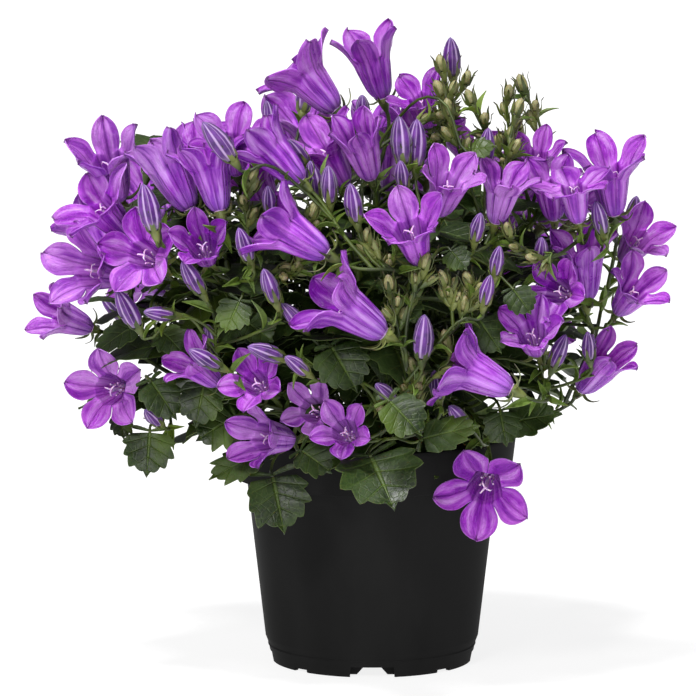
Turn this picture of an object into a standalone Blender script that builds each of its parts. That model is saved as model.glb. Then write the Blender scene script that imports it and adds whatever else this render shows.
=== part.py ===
# Potted bellflower: a bushy campanula with violet bells, in a black nursery pot of soil.
# Sizes are worked out in millimetres from the pot's axis at the surface it stands on, and
# brought to metres where a solid is made. Front is -Y and up is +Z.

import math
import random

import bmesh
import bpy
from mathutils import Vector
from mathutils.bvhtree import BVHTree

MM = 0.001
GAP = 0.3
SEED = 11
UP = Vector((0.0, 0.0, 1.0))

# Where the pot's axis stands from the middle of the plant's spread, which is the origin
POT_AT = Vector((8.9, 6.4, 0.0))

# Pot
POT_STEPS = 32
RIM_RADIUS = 60.0
POT_HEIGHT = 96.3
BAND_HEIGHT = 18.2
BAND_BOTTOM_RADIUS = 58.0
STEP_IN = 5.7
BODY_BOTTOM_RADIUS = 44.4
FOOT_RADIUS = 41.9
FOOT_TOP = 10.5
WALL = 1.2
FLOOR_BOTTOM = 4.6
FLOOR_TOP = 6.0
FOOT_OPENING_WIDTH = 19.0
FOOT_OPENING_HEIGHT = 4.4
FOOT_BREAK_WIDTH = 7.3
FOOT_BREAK_HEIGHT = 1.3
WEB_AT = 37.0
WEB_WIDTH = 29.0
WEB_CUT_TOP = 7.6
WEB_CUT_BOTTOM = 15.5
DRAIN_RADIUS = 4.5
DRAIN_AT = 22.0

# Soil
SOIL_EDGE = 87.5
SOIL_MIDDLE = 90.0
HOLE_RADIUS = 3.2
HOLE_BOTTOM = 66.0

# Stems, stalks and what they carry
STEM_COUNT = 7
STEM_ROOT_RING = 13.0
STEM_RADIUS = 2.3
STEM_END_RADIUS = 1.2
STALK_RADIUS = 1.0
ROOT_RADIUS = 0.45
BRANCH_STEP = 4.5
STEEPEST_BACK = -0.7
BELL_LENGTH = 20.5
BLADE_THICKNESS = 1.2

# The plant's dome: the mouths of its blooms lie on it
DOME_MIDDLE = Vector((-10.0, 0.0, 165.0))
DOME_RADII = (128.0, 106.0, 97.0)

# How the plant is seen from the front: the size of one point of the picture at the pot, the
# picture's middle, the row of the pot's base and the column of its axis
POINT_SIZE = 0.415
PICTURE_MIDDLE = (348, 348)
BASE_ROW = 660
AXIS_COLUMN = 372
VIEW_DISTANCE = 2500.0
VIEW_RISE = math.radians(8.5)
VIEW_FORWARD = Vector((0.0, math.cos(VIEW_RISE), -math.sin(VIEW_RISE)))
VIEW_UP = Vector((0.0, math.sin(VIEW_RISE), math.cos(VIEW_RISE)))
VIEW_RIGHT = Vector((1.0, 0.0, 0.0))
VIEW_TARGET = Vector((
    (PICTURE_MIDDLE[0] - AXIS_COLUMN) * POINT_SIZE,
    0.0,
    (BASE_ROW - PICTURE_MIDDLE[1]) * POINT_SIZE / math.cos(VIEW_RISE),
))
VIEW_FROM = VIEW_TARGET - VIEW_FORWARD * VIEW_DISTANCE

# Blooms seen from the front. base: where the stalk meets the bell, mouth: the middle of the
# mouth, tips: the tips of the lobes that show, back: how far behind the dome it sits
FRONT_BLOOMS = [
    dict(base=(118, 198), mouth=(108, 161), back=0,
         tips=[(111, 116), (95, 123), (134, 125), (80, 136), (71, 147)]),
    dict(base=(127, 235), mouth=(96, 204), back=4, tips=[(126, 164), (61, 221)]),
    dict(base=(122, 275), mouth=(88, 270), back=2,
         tips=[(41, 248), (92, 232), (36, 266), (56, 302), (78, 310)]),
    dict(base=(160, 264), mouth=(138, 252), back=0,
         tips=[(138, 212), (171, 227), (100, 245), (112, 284), (167, 284)]),
    dict(base=(207, 260), mouth=(200, 240), back=6,
         tips=[(191, 207), (217, 219), (173, 227), (185, 256), (217, 247)]),
    dict(base=(191, 211), mouth=(167, 165), back=8, tips=[(164, 125), (148, 145), (153, 140)]),
    dict(base=(205, 185), mouth=(192, 142), back=34, tips=[(187, 119), (199, 124)]),
    dict(base=(220, 211), mouth=(209, 162), back=14, tips=[(179, 141), (168, 164)]),
    dict(base=(236, 172), mouth=(228, 135), back=34,
         tips=[(201, 112), (227, 101), (259, 103), (243, 171)]),
    dict(base=(301, 181), mouth=(266, 146), back=6, tips=[(252, 130), (277, 106)]),
    dict(base=(337, 111), mouth=(303, 74), back=24, tips=[(265, 82), (312, 39), (326, 32)]),
    dict(base=(383, 98), mouth=(370, 52), back=34, tips=[(334, 38), (399, 23), (351, 34)]),
    dict(base=(430, 125), mouth=(417, 88), back=42, tips=[(403, 72), (395, 80), (434, 81)]),
    dict(base=(371, 177), mouth=(358, 137), back=14,
         tips=[(339, 114), (331, 138), (362, 113), (379, 120)]),
    dict(base=(345, 183), mouth=(322, 146), back=18, tips=[(312, 118), (336, 127)]),
    dict(base=(440, 212), mouth=(450, 178), back=4,
         tips=[(446, 140), (476, 156), (426, 144), (479, 176)]),
    dict(base=(496, 221), mouth=(505, 178), back=4, tips=[(494, 157), (514, 157), (524, 168)]),
    dict(base=(539, 183), mouth=(536, 144), back=24, tips=[(541, 120), (520, 130)]),
    dict(base=(555, 218), mouth=(550, 176), back=18, tips=[(536, 161), (564, 147)]),
    dict(base=(579, 221), mouth=(571, 176), back=8, tips=[(557, 171), (569, 166)]),
    dict(base=(615, 214), mouth=(610, 170), back=0,
         tips=[(605, 126), (640, 135), (572, 144), (597, 185)]),
    dict(base=(625, 260), mouth=(644, 232), back=10, tips=[(651, 205), (669, 221)]),
    dict(base=(619, 312), mouth=(640, 283), back=0, tips=[(665, 254), (666, 280), (639, 257)]),
    dict(base=(582, 390), mouth=(607, 358), back=0,
         tips=[(613, 329), (631, 342), (626, 364), (595, 335)]),
    dict(base=(587, 300), mouth=(582, 255), back=20, tips=[(591, 223), (550, 228), (608, 235)]),
    dict(base=(572, 296), mouth=(552, 288), back=4,
         tips=[(561, 247), (530, 261), (578, 264), (588, 306)]),
    dict(base=(538, 352), mouth=(530, 326), back=2,
         tips=[(501, 300), (533, 298), (553, 319), (541, 347), (509, 335)]),
    dict(base=(514, 391), mouth=(466, 368), back=2,
         tips=[(474, 319), (455, 335), (440, 361), (445, 404)]),
    dict(base=(327, 254), mouth=(284, 228), back=2, tips=[(257, 215), (278, 191), (258, 239)]),
    dict(base=(383, 333), mouth=(343, 307), back=0,
         tips=[(312, 270), (344, 259), (295, 319), (315, 336)]),
    dict(base=(420, 260), mouth=(409, 226), back=0,
         tips=[(399, 184), (369, 209), (440, 194), (387, 243), (433, 222)]),
    dict(base=(121, 388), mouth=(107, 390), back=0,
         tips=[(101, 350), (139, 363), (69, 388), (80, 417), (127, 419)]),
    dict(base=(90, 328), mouth=(51, 314), back=8, tips=[(29, 298), (27, 325), (43, 334)]),
    dict(base=(217, 383), mouth=(184, 355), back=6, tips=[(185, 331), (163, 354)]),
    dict(base=(266, 392), mouth=(250, 378), back=0,
         tips=[(238, 352), (264, 355), (283, 369), (217, 382), (242, 407)]),
    dict(base=(322, 415), mouth=(308, 407), back=4,
         tips=[(298, 387), (315, 386), (333, 404), (276, 417), (307, 436)]),
    dict(base=(291, 440), mouth=(258, 437), back=0,
         tips=[(231, 425), (256, 413), (228, 457), (255, 467)]),
    dict(base=(352, 440), mouth=(341, 428), back=-2,
         tips=[(322, 418), (356, 408), (333, 450), (357, 432)]),
    dict(base=(490, 474), mouth=(484, 491), back=-56,
         tips=[(497, 450), (529, 468), (528, 521), (479, 534), (438, 504)]),
]

# Large buds seen from the front: base and tip, and how far behind the dome each sits
FRONT_BUDS = [
    dict(base=(155, 232), tip=(141, 177), back=6),
    dict(base=(250, 261), tip=(239, 229), back=6),
    dict(base=(202, 293), tip=(183, 262), back=8),
    dict(base=(233, 160), tip=(204, 124), back=14),
    dict(base=(404, 165), tip=(397, 100), back=30),
    dict(base=(416, 168), tip=(417, 111), back=30),
    dict(base=(453, 76), tip=(450, 38), back=40),
    dict(base=(306, 163), tip=(289, 141), back=20),
    dict(base=(271, 214), tip=(268, 187), back=14),
    dict(base=(357, 222), tip=(350, 185), back=8),
    dict(base=(404, 188), tip=(400, 162), back=10),
    dict(base=(330, 203), tip=(328, 167), back=8),
    dict(base=(318, 196), tip=(310, 162), back=20),
    dict(base=(363, 122), tip=(362, 96), back=30),
    dict(base=(486, 163), tip=(488, 129), back=12),
    dict(base=(604, 234), tip=(595, 202), back=14),
    dict(base=(631, 229), tip=(636, 196), back=22),
    dict(base=(540, 262), tip=(541, 238), back=16),
    dict(base=(495, 275), tip=(499, 247), back=6),
    dict(base=(484, 305), tip=(490, 276), back=4),
    dict(base=(475, 241), tip=(480, 214), back=10),
    dict(base=(422, 359), tip=(424, 316), back=2),
    dict(base=(553, 367), tip=(565, 335), back=6),
    dict(base=(590, 359), tip=(587, 332), back=14),
    dict(base=(138, 327), tip=(118, 291), back=2),
    dict(base=(173, 315), tip=(145, 312), back=6),
    dict(base=(220, 367), tip=(190, 350), back=4),
    dict(base=(214, 352), tip=(207, 325), back=16),
    dict(base=(276, 302), tip=(264, 270), back=2),
    dict(base=(303, 328), tip=(282, 304), back=4),
    dict(base=(283, 358), tip=(249, 347), back=4),
    dict(base=(307, 373), tip=(286, 357), back=2),
    dict(base=(394, 400), tip=(376, 384), back=0),
    dict(base=(465, 423), tip=(449, 406), back=4),
    dict(base=(439, 399), tip=(434, 371), back=8),
    dict(base=(160, 423), tip=(146, 410), back=4),
]

# Small green buds seen from the front, most of them on two tall spikes
GREEN_BUDS = [
    (443, 72), (464, 84), (441, 96), (472, 104), (450, 116), (508, 98), (525, 92), (516, 116),
    (250, 182), (310, 218), (300, 262), (368, 242), (400, 240), (424, 270), (446, 286), (470, 286),
    (448, 346), (412, 372), (510, 236), (390, 290),
]

# Leaves seen from the front: base, tip, width in millimetres and how far behind the dome
FRONT_LEAVES = [
    dict(base=(150, 430), tip=(147, 474), width=21, back=2),
    dict(base=(262, 452), tip=(212, 476), width=15, back=4),
    dict(base=(272, 474), tip=(284, 529), width=26, back=-14),
    dict(base=(370, 455), tip=(392, 502), width=34, back=-16),
    dict(base=(420, 440), tip=(474, 424), width=16, back=2),
    dict(base=(505, 424), tip=(557, 412), width=18, back=6),
    dict(base=(120, 414), tip=(124, 438), width=10, back=8),
    dict(base=(150, 380), tip=(176, 416), width=18, back=12),
    dict(base=(205, 380), tip=(196, 424), width=19, back=10),
    dict(base=(330, 345), tip=(356, 388), width=22, back=14),
    dict(base=(236, 416), tip=(198, 438), width=20, back=16),
    dict(base=(388, 400), tip=(420, 432), width=20, back=8),
    dict(base=(478, 318), tip=(500, 350), width=18, back=12),
    dict(base=(512, 288), tip=(530, 312), width=14, back=12),
    dict(base=(556, 380), tip=(530, 412), width=18, back=10),
    dict(base=(446, 372), tip=(424, 404), width=16, back=12),
    dict(base=(240, 300), tip=(226, 330), width=15, back=14),
    dict(base=(246, 322), tip=(272, 340), width=15, back=14),
    dict(base=(160, 330), tip=(182, 350), width=15, back=12),
    dict(base=(395, 300), tip=(420, 318), width=14, back=14),
    dict(base=(450, 250), tip=(466, 268), width=12, back=10),
    dict(base=(470, 150), tip=(494, 146), width=10, back=12),
    dict(base=(500, 410), tip=(506, 444), width=16, back=20),
    dict(base=(300, 450), tip=(330, 470), width=17, back=-2),
]

# The outline of the bush in the picture, column and row: nothing at the back stands out past it
BUSH_OUTLINE = [
    (28, 318), (42, 240), (64, 205), (72, 152), (105, 120), (150, 142), (190, 121), (232, 104),
    (260, 100), (275, 70), (310, 42), (340, 62), (388, 34), (402, 76), (450, 42), (470, 84),
    (492, 126), (530, 96), (552, 152), (606, 130), (640, 142), (634, 198), (666, 224), (660, 284),
    (634, 330), (628, 350), (590, 398), (548, 430), (470, 424), (230, 440), (130, 470), (72, 410),
    (88, 345),
]

# Blooms on top, behind those in front: the middle of the mouth from the pot's axis
CROWN_BLOOMS = [(-50, 2, 203), (12, 24, 210), (62, 6, 198), (-22, 50, 214)]

# What the rule for the back makes, and the leaves that fill the bush
BACK_BLOOM_NODES = 8
BACK_SINGLES = 1
PAIR_APART = 24.3
BACK_BUDS = 11
BACK_GREEN_BUDS = 4
FILL_LEAVES = 30


class Body:
    """Points and faces of one closed piece, in millimetres."""

    def __init__(self):
        self.points = []
        self.faces = []

    def add(self, point):
        self.points.append(Vector(point))
        return len(self.points) - 1

    def ring(self, middle, across, beside, radius, count, turn=0.0):
        made = []
        for k in range(count):
            angle = turn + math.tau * k / count
            made.append(self.add(middle + radius * (math.cos(angle) * across + math.sin(angle) * beside)))
        return made

    def out_from_middle(self, ring):
        middle = sum((self.points[i] for i in ring), Vector()) / len(ring)
        return [(self.points[i] - middle).normalized() for i in ring]

    def join(self, low, high):
        """Triangles between two rings, which may differ in count and run the same way round."""
        first = self.out_from_middle(low)[0]
        ways = self.out_from_middle(high)
        start = max(range(len(high)), key=lambda k: ways[k].dot(first))
        high = high[start:] + high[:start]
        i = 0
        j = 0
        while i < len(low) or j < len(high):
            a = low[i % len(low)]
            b = high[j % len(high)]
            if j == len(high) or (i < len(low) and (i + 1) * len(high) <= (j + 1) * len(low)):
                i += 1
                self.faces.append((a, low[i % len(low)], b))
            else:
                j += 1
                self.faces.append((a, high[j % len(high)], b))

    def cap(self, ring, over):
        """Closes a ring with a fan: over for its upper side."""
        for k in range(1, len(ring) - 1):
            face = (ring[0], ring[k], ring[k + 1])
            self.faces.append(face if over else face[::-1])

    def point_up(self, ring, tip):
        for k in range(len(ring)):
            self.faces.append((ring[k], ring[(k + 1) % len(ring)], tip))

    def joined_with(self, other):
        both = Body()
        both.points = self.points + other.points
        shift = len(self.points)
        both.faces = self.faces + [tuple(i + shift for i in face) for face in other.faces]
        return both


def square_to(axis):
    """Two directions square to an axis and to each other."""
    helper = Vector((0.0, 0.0, 1.0)) if abs(axis.z) < 0.9 else Vector((1.0, 0.0, 0.0))
    across = helper.cross(axis).normalized()
    return across, axis.cross(across)


# Seeing the plant from the front

def to_picture(point):
    """The picture's column and row of a place on the plant."""
    offset = point - VIEW_FROM
    scale = VIEW_DISTANCE / offset.dot(VIEW_FORWARD) / POINT_SIZE
    column = PICTURE_MIDDLE[0] + offset.dot(VIEW_RIGHT) * scale
    row = PICTURE_MIDDLE[1] - offset.dot(VIEW_UP) * scale
    return Vector((column, row))


def within_outline(points):
    """True if every point lies inside the bush's outline in the picture."""
    edges = list(zip(BUSH_OUTLINE, BUSH_OUTLINE[1:] + BUSH_OUTLINE[:1]))
    for point in points:
        spot = to_picture(point)
        crossed = 0
        for (x0, y0), (x1, y1) in edges:
            if (y0 > spot.y) != (y1 > spot.y):
                crossed += spot.x < x0 + (spot.y - y0) / (y1 - y0) * (x1 - x0)
        if crossed % 2 == 0:
            return False
    return True


def sight_line(pixel):
    side = (pixel[0] - PICTURE_MIDDLE[0]) * POINT_SIZE
    rise = (PICTURE_MIDDLE[1] - pixel[1]) * POINT_SIZE
    return (VIEW_FORWARD * VIEW_DISTANCE + VIEW_RIGHT * side + VIEW_UP * rise).normalized()


def on_dome(pixel, back):
    """The place on the dome's near side behind a point of the picture, or the nearest to it."""
    line = sight_line(pixel)
    start = VIEW_FROM - DOME_MIDDLE
    squeezed_start = Vector([s / r for s, r in zip(start, DOME_RADII)])
    squeezed_line = Vector([s / r for s, r in zip(line, DOME_RADII)])
    a = squeezed_line.dot(squeezed_line)
    b = squeezed_start.dot(squeezed_line)
    c = squeezed_start.dot(squeezed_start) - 1.0
    inside = b * b - a * c
    reach = (-b - math.sqrt(max(inside, 0.0))) / a
    return VIEW_FROM + line * (reach + back)


def axis_between(base, head, length):
    """The direction of a piece seen from base to head, leaning towards the viewer as far as
    its real length needs."""
    flat = VIEW_RIGHT * ((head[0] - base[0]) * POINT_SIZE) + VIEW_UP * ((base[1] - head[1]) * POINT_SIZE)
    lean = math.sqrt(max(length * length - flat.length_squared, 0.0))
    return (flat - VIEW_FORWARD * lean).normalized()


# Forms of the pieces

def bell_at(place, angle, radius, height, aside=0.0):
    """A place on a bloom: round its axis, out from it and along it, and sideways along the lobe."""
    across, beside = square_to(place["axis"])
    out = across * math.cos(angle) + beside * math.sin(angle)
    along = beside * math.cos(angle) - across * math.sin(angle)
    return place["base"] + place["size"] * (out * radius + place["axis"] * height + along * aside)


def lobe_shape(place):
    """Out and up of a lobe's widest part and of its tip."""
    lower = math.radians(place["flare"] - 14.0)
    upper = math.radians(place["flare"] + 12.0)
    wide = (6.8 + 7.0 * math.sin(lower), 16.5 + 7.0 * math.cos(lower))
    tip = (wide[0] + 7.5 * math.sin(upper), wide[1] + 7.5 * math.cos(upper))
    return wide, tip


def bloom_body(place):
    """A bell of five ribs that opens into five pointed lobes, with a funnel inside."""
    body = Body()
    wide, tip = lobe_shape(place)
    turns = [place["turn"] + math.tau * k / 5 for k in range(5)]
    half = math.pi / 5
    seat = [body.add(bell_at(place, t, 1.9, 0.0)) for t in turns]
    belly = [body.add(bell_at(place, t, 5.0, 4.5)) for t in turns]
    rib = [body.add(bell_at(place, t, 7.0, 15.5)) for t in turns]
    notch = [body.add(bell_at(place, t + half, 7.0, 18.5)) for t in turns]
    left = [body.add(bell_at(place, t, wide[0], wide[1], -5.2)) for t in turns]
    keel = [body.add(bell_at(place, t, wide[0] + 0.9, wide[1] - 0.9)) for t in turns]
    right = [body.add(bell_at(place, t, wide[0], wide[1], 5.2)) for t in turns]
    ends = [body.add(bell_at(place, t, tip[0], tip[1])) for t in turns]
    throat = [body.add(bell_at(place, t, 3.8, 5.5)) for t in turns]
    inner_rib = [body.add(bell_at(place, t, 5.9, 16.3)) for t in turns]
    well = body.add(bell_at(place, 0.0, 0.0, 3.6))
    body.cap(seat, False)
    for k in range(5):
        n = (k + 1) % 5
        p = (k - 1) % 5
        body.faces += [(seat[k], seat[n], belly[n]), (seat[k], belly[n], belly[k])]
        body.faces += [(belly[k], belly[n], notch[k]), (belly[k], notch[k], rib[k])]
        body.faces += [(belly[n], rib[n], notch[k])]
        body.faces += [(rib[k], notch[k], right[k]), (rib[k], right[k], keel[k])]
        body.faces += [(notch[p], rib[k], left[k]), (rib[k], keel[k], left[k])]
        body.faces += [(keel[k], right[k], ends[k]), (left[k], keel[k], ends[k])]
        body.faces += [(notch[k], inner_rib[k], right[k]), (inner_rib[k], notch[p], left[k])]
        body.faces += [(right[k], inner_rib[k], left[k]), (right[k], left[k], ends[k])]
        body.faces += [(throat[n], throat[k], notch[k]), (notch[k], throat[k], inner_rib[k])]
        body.faces += [(inner_rib[n], throat[n], notch[k])]
        body.faces += [(throat[k], throat[n], well)]
    return body


def stalk_rings(body, path, radii, sides):
    """Rings along a path, joined; gives the last ring."""
    across, beside = square_to((path[1] - path[0]).normalized())
    last = None
    for k, middle in enumerate(path):
        before = path[max(k - 1, 0)]
        after = path[min(k + 1, len(path) - 1)]
        along = (after - before).normalized()
        across = (across - along * across.dot(along)).normalized()
        beside = along.cross(across)
        ring = body.ring(middle, across, beside, radii[k], sides)
        if last is None:
            body.cap(ring, False)
        else:
            body.join(last, ring)
        last = ring
    return last


def stem_radii(path):
    steps = len(path) - 1
    return [STEM_RADIUS + (STEM_END_RADIUS - STEM_RADIUS) * k / steps for k in range(steps + 1)]


def stalk_radii(path, radius):
    """A stalk's root is small, so that it ends inside what it grows from."""
    return [ROOT_RADIUS] + [radius] * (len(path) - 1)


def cup_body(place, path):
    """A flower's stalk and green cup, with five narrow sepals spread clear of the bell."""
    body = Body()
    last = stalk_rings(body, path, stalk_radii(path, STALK_RADIUS), 3)
    turns = [place["turn"] + math.tau * (k - 0.5) / 5 for k in range(5)]
    half = math.pi / 5
    low = [body.add(bell_at(place, t, 1.5, -4.2)) for t in turns]
    top = [body.add(bell_at(place, t, 2.3, -GAP)) for t in turns]
    body.join(last, low)
    body.cap(top, True)
    for k in range(5):
        n = (k + 1) % 5
        sepal = body.add(bell_at(place, turns[k] + half, 9.6, 3.6))
        body.faces += [(top[k], sepal, top[n]), (low[k], low[n], sepal)]
        body.faces += [(low[n], top[n], sepal), (low[k], sepal, top[k])]
    return body


def bud_body(place, path, length):
    """A stalk with a closed bud of five ribs, or four on a small one."""
    body = Body()
    small = length < 10.0
    last = stalk_rings(body, path, stalk_radii(path, STALK_RADIUS), 3)
    across, beside = square_to(place["axis"])
    shape = [(0.36, 0.23)] if small else [(0.3, 0.2), (0.72, 0.155)]
    for height, radius in shape:
        middle = place["base"] + place["axis"] * (height * length)
        ring = body.ring(middle, across, beside, radius * length, 4 if small else 5)
        body.join(last, ring)
        last = ring
    body.point_up(last, body.add(place["base"] + place["axis"] * length))
    return body


def leaf_outline(teeth):
    """Half a round-heart outline with coarse teeth: along the leaf, and out from its midrib."""
    side = []
    for k in range(2 * teeth + 1):
        angle = math.radians(-74.0 + 162.0 * k / (2 * teeth + 1))
        reach = 0.53 + (0.05 if k % 2 else -0.05)
        side.append((0.42 + reach * math.sin(angle) * 1.04, reach * math.cos(angle)))
    return side


def leaf_body(place, path, teeth):
    """A stalk and a thin toothed blade: a fan of triangles, alike on both faces."""
    body = Body()
    last = stalk_rings(body, path, stalk_radii(path, STALK_RADIUS), 3)
    side = place["along"].cross(place["face"])
    length = place["length"]

    def at(along, out, lift):
        bow = place["fold"] * abs(out) - place["droop"] * along * along
        flat = place["along"] * along + side * out * place["broad"] + place["face"] * bow
        return body.add(place["base"] + flat * length + place["face"] * lift)

    half = leaf_outline(teeth)
    start_right = at(0.0, 0.035, 0.0)
    right = [at(u, v, 0.0) for u, v in half]
    tip = at(1.0, 0.0, 0.0)
    left = [at(u, -v, 0.0) for u, v in reversed(half)]
    start_left = at(0.0, -0.035, 0.0)
    over = at(0.34, 0.0, BLADE_THICKNESS / 2)
    under = at(0.34, 0.0, -BLADE_THICKNESS / 2)
    keel = at(0.0, 0.0, -1.0)
    edge = [start_right] + right + [tip] + left + [start_left]
    for k in range(len(edge)):
        n = (k + 1) % len(edge)
        body.faces.append((edge[k], edge[n], over))
        if n:
            body.faces.append((edge[n], edge[k], under))
    body.faces += [(start_left, under, keel), (keel, under, start_right)]
    body.join(last, [start_left, start_right, keel])
    return body


# Keeping pieces clear of each other

class Space:
    """What is already placed, and whether a new piece is clear of it."""

    def __init__(self):
        self.held = []

    def box(self, points):
        low = [min(p[i] for p in points) for i in range(3)]
        high = [max(p[i] for p in points) for i in range(3)]
        return low, high

    def hold(self, owner, body):
        low, high = self.box(body.points)
        self.held.append((owner, low, high, BVHTree.FromPolygons(body.points, body.faces)))

    def clear(self, body, allowed=()):
        low, high = self.box(body.points)
        tree = None
        for owner, other_low, other_high, other in self.held:
            if owner in allowed or any(low[i] > other_high[i] or high[i] < other_low[i] for i in range(3)):
                continue
            tree = tree or BVHTree.FromPolygons(body.points, body.faces)
            if tree.overlap(other):
                return False
        return True


def swelled(body, by):
    """A copy of a body that is larger by a margin, to test it with."""
    middle = sum(body.points, Vector()) / len(body.points)
    copy = Body()
    copy.faces = body.faces
    for p in body.points:
        away = p - middle
        copy.points.append(p + away.normalized() * by if away.length else p)
    return copy


def bend(start, start_pull, end_pull, end, count):
    """Points of a smooth curve with four guides."""
    made = []
    for k in range(count + 1):
        t = k / count
        s = 1.0 - t
        made.append(s ** 3 * start + 3 * s * s * t * start_pull + 3 * s * t * t * end_pull + t ** 3 * end)
    return made


class Plant:
    """The seven stems and all that grows on them."""

    def __init__(self):
        self.space = Space()
        self.stems = [[] for _ in range(STEM_COUNT)]
        self.nodes = []
        self.blooms = {}

    def grow_stem(self, index, path):
        body = Body()
        last = stalk_rings(body, path, stem_radii(path), 5)
        body.cap(last, True)
        self.keep(index, body, path[2:])

    def keep(self, stem, body, path, head=None):
        """Takes a piece onto a stem; later stalks may branch from places along its path, but
        stay clear of its head."""
        piece = "stem_%d piece %d" % (stem + 1, len(self.stems[stem]))
        self.stems[stem].append(body)
        self.space.hold(piece, body)
        if head:
            self.space.hold(piece + " head", head)
        for before, after in zip(path, path[1:]):
            along = after - before
            count = max(1, round(along.length / BRANCH_STEP))
            for k in range(count):
                point = before + along * ((k + 0.5) / count)
                self.nodes.append((stem, piece, point, along.normalized()))

    def attach(self, place, shape, straight, reach=95.0, tries=70, apart=0.45, own=None, bears=True):
        """Finds a clear way for a piece's stalk from a stem or a branch, nearest first, and
        takes the piece onto that stem."""
        base = place["base"]
        end = base - place["axis"] * straight
        ways = []
        for stem, piece, point, along in self.nodes:
            run = end - point
            far = run.length
            if far < 7.0 or far > reach:
                continue
            away = run / far
            if away.dot(along) < STEEPEST_BACK:
                continue
            cost = far + 22.0 * (1.0 - away.dot(along)) + 26.0 * (1.0 - away.dot(place["axis"]))
            cost += max(0.0, point.z - end.z) * 1.2
            ways.append((cost, stem, piece, point, along, far))
        ways.sort(key=lambda way: way[0])
        for cost, stem, piece, point, along, far in ways[:tries]:
            for bow, lift in ((0.0, 0.0), (0.5, 0.0), (0.2, 0.4), (0.4, 0.8)):
                pull = point + (along * (0.2 + bow) + (end - point) / far * 0.12) * far * 0.8
                last_pull = end - place["axis"] * far * 0.3 * (1.0 - lift) + UP * far * lift
                path = bend(point, pull, last_pull, end, 1 + (far > 14.0) + (far > 40.0))
                if straight > 6.0:
                    path.append(base - place["axis"] * 5.0)
                body = shape(place, path)
                allowed = (piece, own and cup_of(own))
                if not self.space.clear(swelled_stalk(path, STALK_RADIUS + apart), allowed + (own,)):
                    continue
                if self.space.clear(body, allowed):
                    self.keep(stem, body, path[1:-1] if bears else [], shape(place, path[-2:]))
                    return body
        return None


def swelled_stalk(path, radius):
    body = Body()
    last = stalk_rings(body, path, [radius] * len(path), 4)
    body.cap(last, True)
    return body


# Blooms

def bloom_with_cup(place):
    """A bloom and a short length of its stalk, to test it with."""
    end = place["base"] - place["axis"] * 5.0
    path = [end - place["axis"] * 5.0, end]
    return swelled(bloom_body(place), 0.5).joined_with(cup_body(place, path))


def fit_lobes(place, tips):
    """Turns and opens a bloom so that its lobes end where they are seen to end."""
    best = None
    facing = max(0.0, -place["axis"].dot(VIEW_FORWARD))
    for size in (0.78, 0.86, 0.94, 1.02, 1.1, 1.18):
        for flare in (24.0, 34.0, 44.0, 54.0, 64.0, 74.0):
            for step in range(18):
                trial = dict(place, size=size, flare=flare, turn=math.tau / 5 * step / 18)
                tip = lobe_shape(trial)[1]
                turns = [trial["turn"] + math.tau * k / 5 for k in range(5)]
                ends = [to_picture(bell_at(trial, turn, *tip)) for turn in turns]
                miss = sum(min((Vector(t) - e).length_squared for e in ends) for t in tips) / len(tips)
                if len(tips) > 3:
                    miss += sum(min((Vector(t) - e).length_squared for t in tips) for e in ends) / 10.0
                miss += 500.0 * (size - 1.0) ** 2 + 300.0 * facing ** 2 * ((flare - 58.0) / 30.0) ** 2
                if best is None or miss < best[0]:
                    best = (miss, trial)
    return best[1]


def depth_steps(most):
    """0, then steps forward and back that grow."""
    made = [0.0]
    for k in range(1, int(most / 2.5) + 1):
        made += [2.5 * k, -2.5 * k]
    return made


def place_front_bloom(plant, seen, name):
    axis = axis_between(seen["base"], seen["mouth"], BELL_LENGTH)
    mouth = on_dome(seen["mouth"], seen["back"])
    line = sight_line(seen["mouth"])
    place = fit_lobes(dict(axis=axis, base=mouth - axis * BELL_LENGTH), seen["tips"])
    start = place["base"]
    for step in depth_steps(40.0):
        place["base"] = start + line * step
        if plant.space.clear(bloom_with_cup(place)):
            hold_bloom(plant, name, place)
            plant.blooms[name] = [place]
            return
    print("no room for", name)


def back_spot(chance, number, count):
    """A place on the far side of the dome, spread by the golden angle, and the way it faces."""
    share = (number + 0.5) / count
    height = -0.42 + 1.27 * share
    turn = math.radians(18.0) + math.radians(144.0) * ((number * 0.618034) % 1.0)
    turn += math.radians(chance.uniform(-6.0, 6.0))
    flat = math.sqrt(1.0 - min(height * height, 0.98))
    away = Vector((math.cos(turn) * flat, math.sin(turn) * flat, height))
    spot = DOME_MIDDLE + Vector([a * r for a, r in zip(away, DOME_RADII)])
    outward = Vector([a / r for a, r in zip(away, DOME_RADII)]).normalized()
    tilt = Vector((chance.uniform(-0.35, 0.35), chance.uniform(-0.3, 0.3), chance.uniform(0.0, 0.7)))
    return spot, (outward + tilt).normalized()


def place_crown_blooms(plant):
    chance = random.Random(SEED + 5)
    for number, mouth in enumerate(CROWN_BLOOMS):
        name = "bloom_%02d" % (len(FRONT_BLOOMS) + number + 1)
        outward = Vector(mouth) - DOME_MIDDLE
        axis = (outward.normalized() + Vector((chance.uniform(-0.3, 0.3), 0.0, 1.0))).normalized()
        place = dict(axis=axis, size=chance.uniform(0.95, 1.08), flare=chance.uniform(40.0, 62.0),
                     turn=chance.uniform(0.0, 1.25))
        for step in depth_steps(30.0):
            place["base"] = Vector(mouth) - axis * BELL_LENGTH + Vector((0.0, step, 0.0))
            if plant.space.clear(bloom_with_cup(place)):
                hold_bloom(plant, name, place)
                plant.blooms[name] = [place]
                break
        else:
            print("no room for", name)


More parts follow.
